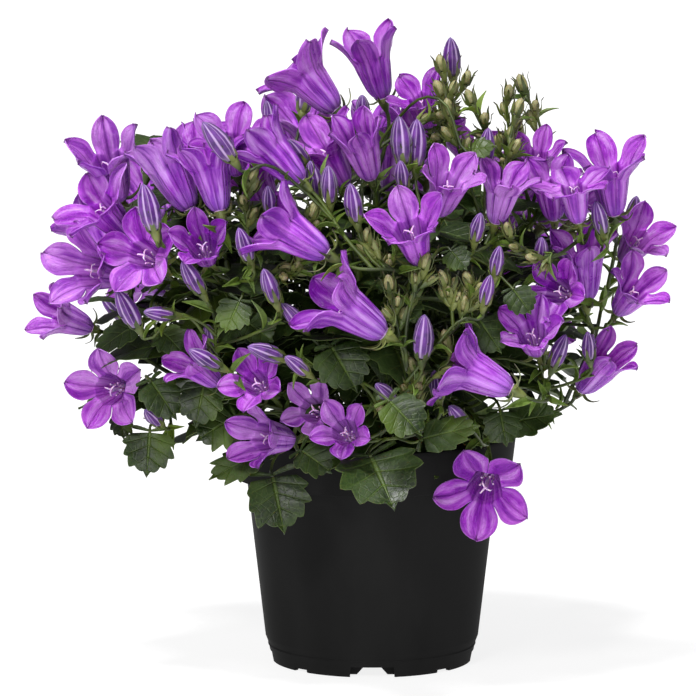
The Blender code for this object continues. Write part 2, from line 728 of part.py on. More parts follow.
def place_back_blooms(plant):
    chance = random.Random(SEED)
    for number in range(BACK_BLOOM_NODES):
        name = "bloom_%02d" % (len(FRONT_BLOOMS) + len(CROWN_BLOOMS) + number + 1)
        for attempt in range(400):
            lower = 0.04 * (attempt // 7)
            spot, axis = back_spot(chance, number + 0.31 * (attempt % 7) - lower, BACK_BLOOM_NODES)
            inward = chance.uniform(0.0, 6.0 + 0.05 * attempt)
            place = dict(axis=axis, base=spot - axis * (BELL_LENGTH + inward),
                         size=chance.uniform(0.95, 1.12), flare=chance.uniform(32.0, 66.0),
                         turn=chance.uniform(0.0, 1.25))
            group = [place]
            if number >= BACK_SINGLES:
                across, beside = square_to(axis)
                way = chance.uniform(0.0, math.tau)
                shift = (across * math.cos(way) + beside * math.sin(way)) * PAIR_APART
                shift += axis * chance.uniform(-5.0, 5.0)
                group.append(dict(place, base=place["base"] + shift, turn=chance.uniform(0.0, 1.25),
                                  flare=max(place["flare"], 46.0)))
                place["flare"] = max(place["flare"], 46.0)
            if not all(within_outline(swelled(bloom_body(one), 1.5).points) for one in group):
                continue
            if all(plant.space.clear(bloom_with_cup(one)) for one in group) and touching(group):
                for one in group:
                    hold_bloom(plant, name, one)
                plant.blooms[name] = group
                break
        else:
            print("no room for", name)


def touching(group):
    if len(group) == 1:
        return True
    trees = [BVHTree.FromPolygons(b.points, b.faces) for b in (bloom_body(one) for one in group)]
    return len(trees[0].overlap(trees[1])) > 3


def hold_bloom(plant, name, place):
    """Takes a bloom's place, and keeps the place of its cup free for it."""
    plant.space.hold(name, bloom_body(place))
    path = [place["base"] - place["axis"] * 9.0, place["base"] - place["axis"] * 5.0]
    plant.space.hold(cup_of(name), cup_body(place, path))


def cup_of(name):
    return name + " cup"


def grow_main_stems(plant):
    for index in range(STEM_COUNT):
        if index == STEM_COUNT - 1:
            root = Vector((1.0, 2.0, 0.0))
            end = Vector((2.0, 8.0, 205.0))
            lean = 0.4
        else:
            turn = math.radians(-90.0 + 60.0 * index)
            out = Vector((math.cos(turn), math.sin(turn), 0.0))
            root = out * STEM_ROOT_RING
            end = out * 62.0 + Vector((-6.0, 0.0, 172.0))
            lean = 1.0
        low = root + Vector((0.0, 0.0, HOLE_BOTTOM + 2.0))
        top = root + Vector((0.0, 0.0, SOIL_MIDDLE + 3.0))
        rise = bend(top, top + UP * 22.0 / lean, end - UP * 30.0 * lean, end, 6)
        plant.grow_stem(index, [low] + rise)


def grow_flower_stalks(plant):
    crown = Vector((0.0, 0.0, 100.0))
    every = [(name, place) for name, group in plant.blooms.items() for place in group]
    every.sort(key=lambda item: (item[1]["base"] - crown).length)
    missed = []
    for name, place in every:
        if not plant.attach(place, cup_body, 9.0, own=name):
            missed.append(name)
    print("flowers without a stalk:", missed)


def place_buds(plant):
    for number, seen in enumerate(FRONT_BUDS):
        flat = (Vector(seen["tip"]) - Vector(seen["base"])).length * POINT_SIZE
        length = min(max(flat * 1.08, 13.5), 20.0)
        axis = axis_between(seen["base"], seen["tip"], length)
        start = on_dome(seen["base"], seen["back"])
        line = sight_line(seen["base"])
        spots = [start + line * s for s in depth_steps(30.0)]
        set_bud(plant, dict(axis=axis), spots, length, "bud %d" % number)
    chance = random.Random(SEED + 1)
    for number in range(BACK_BUDS):
        spots = []
        for _ in range(24):
            spot, axis = back_spot(chance, number + chance.uniform(0.0, 1.0), BACK_BUDS)
            spot -= axis * chance.uniform(14.0, 30.0)
            if within_outline([spot, spot + (axis + UP * 0.6).normalized() * 20.0]):
                spots.append(spot)
        axis = (axis + Vector((0.0, 0.0, 0.6))).normalized()
        set_bud(plant, dict(axis=axis), spots, chance.uniform(14.0, 18.0), "back bud %d" % number)


def set_bud(plant, place, spots, length, label):
    """Puts a bud at the first of some places that is clear and that a stalk can reach."""
    def shape(at, path):
        return bud_body(at, path, length)

    straight = 4.0 if length < 10.0 else 6.0
    for spot in spots:
        place["base"] = spot
        end = spot - place["axis"] * straight
        trial = shape(place, [end - place["axis"] * 3.0, end])
        if plant.space.clear(swelled(trial, 0.4)) and plant.attach(place, shape, straight, tries=14,
                                                                   bears=length > 10.0):
            return True
    print("left out:", label)
    return False


def place_green_buds(plant):
    chance = random.Random(SEED + 2)
    for number, pixel in enumerate(GREEN_BUDS):
        axis = Vector((chance.uniform(-0.5, 0.5), chance.uniform(-0.6, 0.1), 1.0)).normalized()
        start = on_dome(pixel, 10.0)
        line = sight_line(pixel)
        spots = [start + line * s for s in depth_steps(26.0)]
        set_bud(plant, dict(axis=axis), spots, chance.uniform(6.5, 8.5), "green bud %d" % number)
    for number in range(BACK_GREEN_BUDS):
        spots = []
        for _ in range(24):
            spot, axis = back_spot(chance, number + chance.uniform(0.0, 1.0), BACK_GREEN_BUDS)
            spot -= axis * chance.uniform(14.0, 34.0)
            if within_outline([spot, spot + axis * 10.0]):
                spots.append(spot)
        set_bud(plant, dict(axis=axis), spots, chance.uniform(6.5, 8.5), "back green bud %d" % number)


# Leaves

def set_leaf(plant, place, spots, teeth):
    def shape(at, path):
        return leaf_body(at, path, teeth)

    for spot in spots:
        place["base"] = spot
        end = spot - place["axis"] * 2.0
        trial = shape(place, [end - place["axis"] * 1.0, end])
        if plant.space.clear(swelled(trial, 0.6)) and plant.attach(place, shape, 2.0, tries=12,
                                                                   bears=False):
            return True
    return False


def leaf_place(along, face, length, width, fold, droop):
    """A leaf's directions: along its midrib, and the way its upper side faces."""
    face = (face - along * face.dot(along)).normalized()
    stalk_way = (along + face * 0.35).normalized()
    return dict(axis=stalk_way, along=along, face=face, length=length, fold=fold, droop=droop,
                broad=width / length / 1.1)


def place_leaves(plant):
    chance = random.Random(SEED + 3)
    for number, seen in enumerate(FRONT_LEAVES):
        flat = (Vector(seen["tip"]) - Vector(seen["base"])).length * POINT_SIZE
        length = max(flat * 1.05, seen["width"] * 0.9)
        along = axis_between(seen["base"], seen["tip"], length)
        face = -VIEW_FORWARD + Vector((0.0, 0.0, 0.7))
        place = leaf_place(along, face, length, seen["width"], chance.uniform(-0.1, 0.2), 0.08)
        start = on_dome(seen["base"], seen["back"])
        line = sight_line(seen["base"])
        if not set_leaf(plant, place, [start + line * s for s in depth_steps(24.0)], 4):
            print("left out: leaf", number)


def fill_with_leaves(plant):
    """Leaves all through the bush, out to just under the blooms, by a seeded rule."""
    chance = random.Random(SEED + 4)
    made = 0
    for attempt in range(FILL_LEAVES * 14):
        if made >= FILL_LEAVES:
            break
        turn = chance.uniform(0.0, math.tau)
        height = chance.uniform(-0.62, 0.75)
        flat = math.sqrt(1.0 - height * height)
        depth = chance.uniform(0.5, 0.84)
        away = Vector((math.cos(turn) * flat, math.sin(turn) * flat, height))
        spot = DOME_MIDDLE + Vector([a * r * depth for a, r in zip(away, DOME_RADII)])
        side = Vector((-math.sin(turn), math.cos(turn), 0.0)) * chance.uniform(-0.9, 0.9)
        along = (Vector((away.x, away.y, chance.uniform(-0.6, 0.3))) + side).normalized()
        face = away * 0.5 + Vector((chance.uniform(-0.3, 0.3), chance.uniform(-0.3, 0.3), 1.0))
        length = chance.uniform(20.0, 33.0)
        place = leaf_place(along, face, length, length * chance.uniform(0.85, 1.05),
                           chance.uniform(-0.05, 0.25), chance.uniform(0.05, 0.25))
        made += set_leaf(plant, place, [spot], 2)
    print("filling leaves:", made)


# Solids

def material(name, colour, roughness):
    made = bpy.data.materials.new(name)
    made.use_nodes = True
    shader = made.node_tree.nodes["Principled BSDF"]
    shader.inputs["Base Color"].default_value = (*colour, 1.0)
    shader.inputs["Roughness"].default_value = roughness
    shader.inputs["Metallic"].default_value = 0.0
    made.diffuse_color = (*colour, 1.0)
    return made


def solid(name, body, finish):
    """An object of its own from points in millimetres."""
    work = bmesh.new()
    points = [work.verts.new((p + POT_AT) * MM) for p in body.points]
    for face in body.faces:
        work.faces.new([points[i] for i in face])
    mesh = bpy.data.meshes.new(name)
    work.to_mesh(mesh)
    work.free()
    thing = bpy.data.objects.new(name, mesh)
    bpy.context.scene.collection.objects.link(thing)
    if finish:
        mesh.materials.append(finish)
    return thing


def combine(thing, others, operation, solver="EXACT"):
    """One Boolean of a solid and a collection of others, applied; the others are removed."""
    group = bpy.data.collections.new(thing.name + " with")
    for other in others:
        group.objects.link(other)
    boolean = thing.modifiers.new("combine", "BOOLEAN")
    boolean.operand_type = "COLLECTION"
    boolean.collection = group
    boolean.operation = operation
    boolean.solver = solver
    graph = bpy.context.evaluated_depsgraph_get()
    result = bpy.data.meshes.new_from_object(thing.evaluated_get(graph))
    thing.modifiers.clear()
    thing.data = result
    for other in others:
        bpy.data.objects.remove(other)
    bpy.data.collections.remove(group)
    return thing


def connected_faces(work):
    """The faces of a mesh in groups that hang together."""
    left = set(work.faces)
    groups = []
    while left:
        group = [left.pop()]
        for face in group:
            for edge in face.edges:
                for other in edge.link_faces:
                    if other in left:
                        left.remove(other)
                        group.append(other)
        groups.append(group)
    return groups


def held_volume(faces):
    """The volume that some faces close, in cubic millimetres; a hollow's is negative."""
    total = 0.0
    for face in faces:
        first = face.verts[0].co
        for a, b in zip(face.verts[1:], face.verts[2:]):
            total += first.dot(a.co.cross(b.co)) / 6.0
    return total / MM ** 3


def keep_main_body(thing):
    """Fills the hollows that a union seals and drops its loose scraps."""
    work = bmesh.new()
    work.from_mesh(thing.data)
    groups = sorted(connected_faces(work), key=lambda group: -held_volume(group))
    for group in groups[1:]:
        volume = held_volume(group)
        if volume > 1.0:
            print(thing.name, "dropped a piece of", round(volume, 1), "mm3")
        bmesh.ops.delete(work, geom=group, context="FACES")
    work.to_mesh(thing.data)
    work.free()


def turned(profile, steps):
    """A body turned round the pot's axis from a profile of radius and height."""
    work = bmesh.new()
    row = [work.verts.new((radius, 0.0, height)) for radius, height in profile]
    edges = [work.edges.new(pair) for pair in zip(row, row[1:])]
    bmesh.ops.spin(work, geom=row + edges, angle=math.tau, steps=steps, axis=(0, 0, 1), cent=(0, 0, 0))
    bmesh.ops.remove_doubles(work, verts=work.verts, dist=0.0005)
    bmesh.ops.triangulate(work, faces=work.faces)
    work.verts.index_update()
    body = Body()
    body.points = [v.co.copy() for v in work.verts]
    body.faces = [tuple(v.index for v in face.verts) for face in work.faces]
    work.free()
    return body


def block(size, middle, turn=0.0, top_share=1.0):
    """A box, narrower at its top by a share, turned round the pot's axis."""
    body = Body()
    for z, share in ((-0.5, 1.0), (0.5, top_share)):
        for x, y in ((-0.5, -0.5), (0.5, -0.5), (0.5, 0.5), (-0.5, 0.5)):
            place = Vector((x * size[0] * share, y * size[1], z * size[2])) + Vector(middle)
            spun = Vector((place.x * math.cos(turn) - place.y * math.sin(turn),
                           place.x * math.sin(turn) + place.y * math.cos(turn), place.z))
            body.add(spun)
    body.faces = [(3, 2, 1, 0), (4, 5, 6, 7), (0, 1, 5, 4), (1, 2, 6, 5), (2, 3, 7, 6), (3, 0, 4, 7)]
    return body


def peg(middle, radius, bottom, top, sides):
    body = Body()
    x = Vector((1.0, 0.0, 0.0))
    y = Vector((0.0, 1.0, 0.0))
    low = body.ring(Vector((middle.x, middle.y, bottom)), x, y, radius, sides)
    high = body.ring(Vector((middle.x, middle.y, top)), x, y, radius, sides)
    body.cap(low, False)
    body.cap(high, True)
    body.join(low, high)
    return body


def pot_profile():
    band = POT_HEIGHT - BAND_HEIGHT
    body_top = BAND_BOTTOM_RADIUS - STEP_IN
    return [
        (0.0, FLOOR_BOTTOM), (FOOT_RADIUS - 2.7, FLOOR_BOTTOM), (FOOT_RADIUS - 2.3, 0.0),
        (FOOT_RADIUS, 0.0), (FOOT_RADIUS + 1.2, 7.0),
        (BODY_BOTTOM_RADIUS, FOOT_TOP), (body_top, band), (BAND_BOTTOM_RADIUS, band),
        (RIM_RADIUS, POT_HEIGHT - 1.7), (RIM_RADIUS, POT_HEIGHT),
        (RIM_RADIUS - 1.7, POT_HEIGHT), (BAND_BOTTOM_RADIUS - WALL, band + 1.5),
        (body_top - WALL, band + WALL), (BODY_BOTTOM_RADIUS - WALL, FOOT_TOP + 0.3),
        (FOOT_RADIUS - 0.7, FLOOR_TOP), (0.0, FLOOR_TOP),
    ]


def soil_profile():
    """The soil's outside follows the pot's inside, a small gap clear of it."""
    band = POT_HEIGHT - BAND_HEIGHT
    body_top = BAND_BOTTOM_RADIUS - STEP_IN
    free = GAP + 0.1
    return [
        (0.0, FLOOR_TOP + GAP), (FOOT_RADIUS - 0.7 - free, FLOOR_TOP + GAP),
        (BODY_BOTTOM_RADIUS - WALL - free, FOOT_TOP + 0.3), (body_top - WALL - free, band + WALL),
        (body_top - WALL - free, band + 1.5 + GAP), (BAND_BOTTOM_RADIUS - WALL - free, band + 1.5 + GAP),
        (BAND_BOTTOM_RADIUS - WALL - free + 0.6, SOIL_EDGE), (0.0, SOIL_MIDDLE),
    ]


def make_pot(finish):
    pot = solid("pot", turned(pot_profile(), POT_STEPS), finish)
    webs = []
    cuts = []
    for quarter in range(4):
        turn = math.radians(90.0) * quarter
        web_top = FLOOR_BOTTOM + 0.5
        web = block((WEB_WIDTH, WALL, web_top - 0.6), (0, -WEB_AT, web_top / 2 + 0.3), turn)
        webs.append(solid("web", web, None))
        cuts.append(solid("cut", block((FOOT_OPENING_WIDTH, 9.0, 2 * FOOT_OPENING_HEIGHT),
                                       (0, -WEB_AT - WALL / 2 - 4.6, 0), turn), None))
        cuts.append(solid("cut", block((WEB_CUT_BOTTOM, 6.0, 4.4), (0, -WEB_AT, 1.2), turn,
                                       WEB_CUT_TOP / WEB_CUT_BOTTOM), None))
        cuts.append(solid("cut", block((FOOT_BREAK_WIDTH, 12.0, 2 * FOOT_BREAK_HEIGHT),
                                       (0, -FOOT_RADIUS, 0), turn + math.radians(45.0)), None))
        drain = Vector((math.cos(turn + 0.6), math.sin(turn + 0.6), 0.0)) * DRAIN_AT
        cuts.append(solid("cut", peg(drain, DRAIN_RADIUS, 2.0, 9.0, 8), None))
    combine(pot, webs, "UNION")
    return combine(pot, cuts, "DIFFERENCE")


def stem_roots(plant):
    return [stem[0].points[0:5] for stem in plant.stems]


def make_soil(plant, finish):
    soil = solid("soil", turned(soil_profile(), POT_STEPS // 2), finish)
    holes = []
    for root in stem_roots(plant):
        middle = sum(root, Vector()) / len(root)
        holes.append(solid("hole", peg(middle, HOLE_RADIUS, HOLE_BOTTOM, SOIL_MIDDLE + 6.0, 7), None))
    return combine(soil, holes, "DIFFERENCE")


def make_stems(plant, finish):
    """Each stem with all that grows on it, joined by one union; the exact way is slow here."""
    for index, bodies in enumerate(plant.stems):
        name = "stem_%d" % (index + 1)
        pieces = [solid("piece", body, None) for body in bodies[1:]]
        keep_main_body(combine(solid(name, bodies[0], finish), pieces, "UNION", "MANIFOLD"))


def make_blooms(plant, finish):
    for name, group in plant.blooms.items():
        first = solid(name, bloom_body(group[0]), finish)
        others = [solid("piece", bloom_body(one), None) for one in group[1:]]
        if others:
            keep_main_body(combine(first, others, "UNION", "MANIFOLD"))


def smooth_round_pieces():
    for thing in bpy.context.scene.objects:
        thing.data.shade_smooth()
        thing.data.set_sharp_from_angle(angle=math.radians(34.0))


def grow_plant():
    plant = Plant()
    plant.space.hold("pot", turned(pot_profile(), POT_STEPS))
    for number, seen in enumerate(FRONT_BLOOMS):
        place_front_bloom(plant, seen, "bloom_%02d" % (number + 1))
    place_crown_blooms(plant)
    place_back_blooms(plant)
    grow_main_stems(plant)
    grow_flower_stalks(plant)
    plant.space.hold("soil", turned(soil_profile(), POT_STEPS // 2))
    place_buds(plant)
    place_leaves(plant)
    place_green_buds(plant)
    fill_with_leaves(plant)
    return plant


def main():
    for thing in list(bpy.data.objects):
        bpy.data.objects.remove(thing)
    plant = grow_plant()
    make_pot(material("pot_plastic", (0.012, 0.012, 0.013), 0.5))
    make_soil(plant, material("peat", (0.03, 0.02, 0.013), 0.95))
    make_stems(plant, material("greenery", (0.09, 0.17, 0.05), 0.55))
    make_blooms(plant, material("petal", (0.33, 0.09, 0.62), 0.5))
    smooth_round_pieces()


main()
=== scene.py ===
import math
import random
import bmesh
import bpy
import numpy as np
from mathutils import Matrix, Vector
from mathutils.kdtree import KDTree


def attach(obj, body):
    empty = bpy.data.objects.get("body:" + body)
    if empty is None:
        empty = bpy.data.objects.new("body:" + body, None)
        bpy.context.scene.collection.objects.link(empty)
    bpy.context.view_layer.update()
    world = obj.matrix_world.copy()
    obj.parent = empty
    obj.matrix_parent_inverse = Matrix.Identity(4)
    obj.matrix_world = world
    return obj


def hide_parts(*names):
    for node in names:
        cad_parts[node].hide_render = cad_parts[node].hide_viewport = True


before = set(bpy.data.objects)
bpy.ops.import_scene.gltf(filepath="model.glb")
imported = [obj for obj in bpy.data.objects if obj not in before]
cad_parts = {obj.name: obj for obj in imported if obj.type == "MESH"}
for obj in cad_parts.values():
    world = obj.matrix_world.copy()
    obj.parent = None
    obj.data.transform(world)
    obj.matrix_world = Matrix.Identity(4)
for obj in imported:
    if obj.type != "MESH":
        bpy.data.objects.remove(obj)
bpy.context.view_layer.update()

mm = 0.001
up = Vector((0.0, 0.0, 1.0))
potAt = Vector((8.9, 6.4, 0.0))  # the pot's axis in the frame, mm


def deselect():
    if bpy.context.mode != "OBJECT":
        bpy.ops.object.mode_set(mode="OBJECT")
    bpy.ops.object.select_all(action="DESELECT")


def choose(piece, *more):  # the first is the active one
    deselect()
    for thing in (piece, *more):
        thing.select_set(True)
    bpy.context.view_layer.objects.active = piece


def added(name):  # the primitive that was just added, named
    piece = bpy.context.object
    piece.name = name
    piece.data.name = name
    return piece


def start(name, add, **settings):  # what an operator adds, with nothing else selected
    deselect()
    add(**settings)
    return added(name)


def gridSheet(name, across, along):  # a flat grid, one unit square
    return start(name, bpy.ops.mesh.primitive_grid_add, x_subdivisions=across, y_subdivisions=along, size=1)


def edit(piece, selectMode="VERT"):
    choose(piece)
    bpy.ops.object.mode_set(mode="EDIT")
    bpy.ops.mesh.select_mode(type=selectMode)
    bpy.ops.mesh.select_all(action="SELECT")


def settle(piece):  # place, turn and scale go into the mesh
    choose(piece)
    bpy.ops.object.transform_apply(location=True, rotation=True, scale=True)
    return piece


def merge(piece, distance=0.00001, outwards=True):
    edit(piece)
    bpy.ops.mesh.remove_doubles(threshold=distance)
    if outwards:
        bpy.ops.mesh.normals_make_consistent(inside=False)
    bpy.ops.object.mode_set(mode="OBJECT")
    return piece


def modify(piece, kind, **settings):
    choose(piece)
    modifier = piece.modifiers.new(kind.title(), kind)
    for key, value in settings.items():
        setattr(modifier, key, value)
    bpy.ops.object.modifier_apply(modifier=modifier.name)
    return piece


def joined(pieces, name):
    choose(*pieces)
    if len(pieces) > 1:
        bpy.ops.object.join()
    return added(name)


def smooth(piece, degrees=None):
    choose(piece)
    if degrees is None:
        bpy.ops.object.shade_smooth()
    else:
        bpy.ops.object.shade_smooth_by_angle(angle=math.radians(degrees))
    return piece


def pointsOf(piece):
    flat = np.empty(len(piece.data.vertices) * 3)
    piece.data.vertices.foreach_get("co", flat)
    return flat.reshape(-1, 3)


def putPoints(piece, points):
    piece.data.vertices.foreach_set("co", np.asarray(points, dtype=float).ravel())
    piece.data.update()
    return piece


def copyOf(piece, name):
    twin = piece.copy()
    twin.data = piece.data.copy()
    twin.name = name
    twin.data.name = name
    bpy.context.collection.objects.link(twin)
    return twin


def shed(*pieces):  # patterns that were only copied from
    for piece in pieces:
        bpy.data.objects.remove(piece)


def turnedTo(direction, turn=0.0):  # the turn that takes Z to a direction, as the solids have it
    axis = direction.normalized()
    helper = up if abs(axis.z) < 0.9 else Vector((1.0, 0.0, 0.0))
    across = helper.cross(axis).normalized()
    beside = axis.cross(across)
    turned = Matrix((across, beside, axis)).transposed()
    return turned @ Matrix.Rotation(turn, 3, "Z")


def placed(base, direction, size, turn=0.0):  # a pattern of millimetres goes to its place in metres
    matrix = turnedTo(direction, turn).to_4x4()
    matrix.translation = base * mm
    return matrix @ Matrix.Scale(size * mm, 4)


def repeated(name, pattern, matrices):  # one mesh with a copy of the pattern at each place
    sheet = bmesh.new()
    for matrix in matrices:
        twin = pattern.data.copy()
        twin.transform(matrix)
        sheet.from_mesh(twin)
        bpy.data.meshes.remove(twin)
    piece = copyOf(pattern, name)
    sheet.to_mesh(piece.data)
    sheet.free()
    return piece


def lathe(name, profile, steps):  # a profile of radius and height in mm, spun round the z axis
    piece = start(name, bpy.ops.mesh.primitive_plane_add, size=mm)
    edit(piece)
    bpy.ops.mesh.merge(type="CENTER")
    radius, height = profile[0]
    bpy.ops.transform.translate(value=(radius * mm, 0, height * mm))
    for before, after in zip(profile, profile[1:]):
        step = ((after[0] - before[0]) * mm, 0, (after[1] - before[1]) * mm)
        bpy.ops.mesh.extrude_region_move(TRANSFORM_OT_translate={"value": step})
    bpy.ops.mesh.select_all(action="SELECT")
    bpy.ops.mesh.spin(steps=steps, angle=math.tau, center=(0, 0, 0), axis=(0, 0, 1))
    return merge(piece)


def finishPiece(piece, node, materials=None):
    if materials:
        piece.data.materials.clear()
        for material in materials:
            piece.data.materials.append(material)
    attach(piece, "root")
    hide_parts(node)
    return piece


def scatter(name, node, pattern, places, material, degrees=60):  # a pattern's copies as one piece
    return finishPiece(smooth(repeated(name, pattern, places), degrees), node, [material])


# Where the solids have each flower, bud and leaf, read from their meshes.

stems = {"count": 7, "rootRing": 13.0, "low": 68.0, "high": 93.0, "endOut": 62.0,
         "endShift": (-6.0, 0.0, 172.0), "middleFoot": (1.0, 2.0, 0.0), "middleEnd": (2.0, 8.0, 205.0),
         "middleLean": 0.4, "rise": 22.0, "fall": 30.0, "radius": 2.3, "endRadius": 1.2,
         "stalkRadius": 0.8, "budRadius": 0.68, "leafRadius": 0.62, "twigRadius": 0.5}
# how the solids are made: a bell's seat and lobes, a cup's sepals, the tips of buds, leaves and stalks
made = {"seat": 1.9, "wide": (6.8, 16.5, 7.0), "tip": 7.5, "lower": -14.0, "upper": 12.0,
        "sepal": (9.6, 3.6), "budTips": {5: (0.28, 0.155), 4: (0.64, 0.23)},
        "blade": 1.2, "halfWidth": 0.55, "manyEdges": 13, "leafLean": 0.35,
        "tipAbove": 18.0, "flares": range(20, 81), "even": (0.02, 0.03),
        "ring": 1.0, "hops": 4, "neck": 4.0, "footRoom": 4.0,
        "straight": {"flower": 9.0, "large": 6.0, "small": 4.0, "leaf": 2.0}}


def stemGuide(index):  # the foot, the place at the soil and the four guides of a main stem, mm
    if index == stems["count"] - 1:  # the one in the middle
        root = potAt + Vector(stems["middleFoot"])
        end = potAt + Vector(stems["middleEnd"])
        lean = stems["middleLean"]
    else:
        angle = math.radians(-90 + 60 * index)
        out = Vector((math.cos(angle), math.sin(angle), 0.0))
        root = potAt + out * stems["rootRing"]
        end = potAt + out * stems["endOut"] + Vector(stems["endShift"])
        lean = 1.0
    top = root + up * stems["high"]
    return (root + up * stems["low"], top, top + up * stems["rise"] / lean,
            end - up * stems["fall"] * lean, end)


def curvePoint(guides, share):
    a, b, c, d = guides
    other = 1 - share
    return a * other ** 3 + b * 3 * share * other ** 2 + c * 3 * share ** 2 * other + d * share ** 3


def solidMesh(node):  # a copy of a solid with its doubles merged, in mm
    solid = bmesh.new()
    solid.from_mesh(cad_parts[node].data)
    bmesh.ops.remove_doubles(solid, verts=solid.verts, dist=0.00002)
    bmesh.ops.scale(solid, vec=(1 / mm, 1 / mm, 1 / mm), verts=solid.verts)
    solid.normal_update()
    return solid


def middleOf(vertices):
    return sum((vertex.co for vertex in vertices), Vector()) / len(vertices)


def evenRing(spots, middle):  # the radius of points that stand evenly round a middle, or none
    reaches = [(spot - middle).length for spot in spots]
    steps = [(a - b).length for a, b in zip(spots, spots[1:] + spots[:1])]
    even = all(max(row) - min(row) < part * max(row) for row, part in zip((reaches, steps), made["even"]))
    return sum(reaches) / len(reaches) if even else None


def tipPlace(flare):  # how far out and how high a lobe's tip is
    out, height, length = made["wide"]
    lower = math.radians(flare + made["lower"])
    upper = math.radians(flare + made["upper"])
    return (out + length * math.sin(lower) + made["tip"] * math.sin(upper),
            height + length * math.cos(lower) + made["tip"] * math.cos(upper))


def readFlare(points, base, axis, size, turn):  # how far a bell opens, from the lobe tips that are whole
    found = (0.3, 50.0)  # the farthest miss that counts, and the opening where none is found
    frameTurn = turnedTo(axis)
    for point in points:
        local = frameTurn.transposed() @ (point - base) / size
        angle = (math.atan2(local.y, local.x) - turn + math.radians(1.0)) % (math.tau / 5)
        if local.z < made["tipAbove"] or angle > math.radians(2.0):
            continue
        for step in made["flares"]:
            out, height = tipPlace(step)
            miss = abs(math.hypot(local.x, local.y) - out) + abs(local.z - height)
            found = min(found, (miss, float(step)))
    return found[1]


def readBlooms(node):  # each bell's flat seat is the only even five-sided face
    solid = solidMesh(node)
    points = [vertex.co.copy() for vertex in solid.verts]
    bmesh.ops.dissolve_limit(solid, angle_limit=math.radians(0.4), verts=solid.verts, edges=solid.edges)
    rows = []
    for face in solid.faces:
        spots = [vertex.co for vertex in face.verts]
        middle = face.calc_center_median()
        radius = evenRing(spots, middle) if len(spots) == 5 else None
        if radius and radius < 3.0:
            axis = -face.normal.copy()
            seat = turnedTo(axis).transposed() @ (spots[0] - middle)
            turn = math.atan2(seat.y, seat.x) % (math.tau / 5)
            size = radius / made["seat"]
            rows.append((node, middle, axis, size, readFlare(points, middle, axis, size, turn), turn))
    solid.free()
    return sorted(rows, key=lambda row: row[1].x)


def inOrder(rows):  # sorted by place, whatever the order in the solid
    return sorted(rows, key=lambda row: tuple(round(part, 1) for part in row[0]))


def readBuds(solid):  # a bud ends in a tip over an even ring of five corners, or four on a small one
    large = []
    small = []
    for vertex in solid.verts:
        around = [edge.other_vert(vertex) for edge in vertex.link_edges]
        if len(around) not in made["budTips"]:
            continue
        middle = middleOf(around)
        axis = vertex.co - middle
        loop = sorted(around, key=lambda other: roundAngle(other.co - middle, axis))
        radius = evenRing([other.co for other in loop], middle)
        share, width = made["budTips"][len(around)]
        if not radius or abs(radius / axis.length - width / share) > 0.02:
            continue
        length = axis.length / share
        axis.normalize()
        (large if len(around) == 5 else small).append((vertex.co - axis * length, axis, length))
    return inOrder(large), inOrder(small)


def roundAngle(way, axis):
    local = turnedTo(axis).transposed() @ way
    return math.atan2(local.y, local.x)


def readLeaves(solid):  # a blade has a hub of many edges on each face, one over the other
    hubs = [vertex for vertex in solid.verts if len(vertex.link_edges) >= made["manyEdges"]]
    rows = []
    for over in hubs:
        for under in hubs:
            apart = over.co - under.co
            if abs(apart.length - made["blade"]) > 0.02 or len(over.link_edges) > len(under.link_edges):
                continue
            face = apart.normalized()
            edge = [link.other_vert(over).co for link in over.link_edges]
            pairs = [(a, b) for n, a in enumerate(edge) for b in edge[n + 1:]]
            left, right = min(pairs, key=lambda pair: (pair[0] - pair[1]).length)
            base = (left + right) / 2
            tip = max(edge, key=lambda spot: (spot - base).length)
            reach = tip - base
            along = (reach - face * reach.dot(face)).normalized()
            side = along.cross(face)
            length = reach.dot(along)
            widest = max(edge, key=lambda spot: abs((spot - base).dot(side)))
            half = abs((widest - base).dot(side)) / length
            forward = (widest - base).dot(along) / length
            droop = -reach.dot(face) / length
            breadth = half / made["halfWidth"]
            fold = ((widest - base).dot(face) / length + droop * forward ** 2) * breadth / half
            rows.append((base, along, face, length, breadth, fold, droop))
    return inOrder(rows)


def readRings(solid):  # the middles of the stalks' three-cornered rings, and which rings an edge joins
    side = made["ring"] * math.sqrt(3)
    finder = KDTree(len(solid.verts))
    solid.verts.ensure_lookup_table()
    for vertex in solid.verts:
        finder.insert(vertex.co, vertex.index)
    finder.balance()
    beside = [{index for _, index, far in finder.find_range(vertex.co, side + 0.01) if far > side - 0.01}
              for vertex in solid.verts]
    rings = []
    ringOf = {}
    for first, others in enumerate(beside):
        for second in others:
            for third in others & beside[second]:
                if first < second < third:
                    for corner in (first, second, third):
                        ringOf[corner] = len(rings)
                    rings.append(middleOf([solid.verts[corner] for corner in (first, second, third)]))
    links = {number: set() for number in range(len(rings))}
    for edge in solid.edges:
        a, b = (ringOf.get(vertex.index) for vertex in edge.verts)
        if a is not None and b is not None and a != b:
            links[a].add(b)
            links[b].add(a)
    return rings, ringOf, links


def nextRing(solid, ringOf, corners, used):  # the rings that are reached next over the mesh's edges
    reached = set()
    seen = set(corners)
    layer = set(corners)
    for _ in range(made["hops"]):
        layer = {edge.other_vert(solid.verts[index]).index for index in layer
                 for edge in solid.verts[index].link_edges} - seen
        seen |= layer
        reached |= {ringOf[index] for index in layer if index in ringOf} - used
        layer = {index for index in layer if index not in ringOf}
        if reached or not layer:
            break
    return reached


def stemRoute(stem, end, ahead):  # a plain way from the main stem, for a stalk that can't be read
    guides = stemGuide(stem - 1)[1:]
    shares = [0.1 + 0.05 * step for step in range(18)]
    foot = min((curvePoint(guides, share) for share in shares),
               key=lambda spot: (spot - end).length - 0.6 * (end - spot).dot(ahead))
    return [foot, (foot + end) / 2 - ahead * (end - foot).length * 0.12, end]


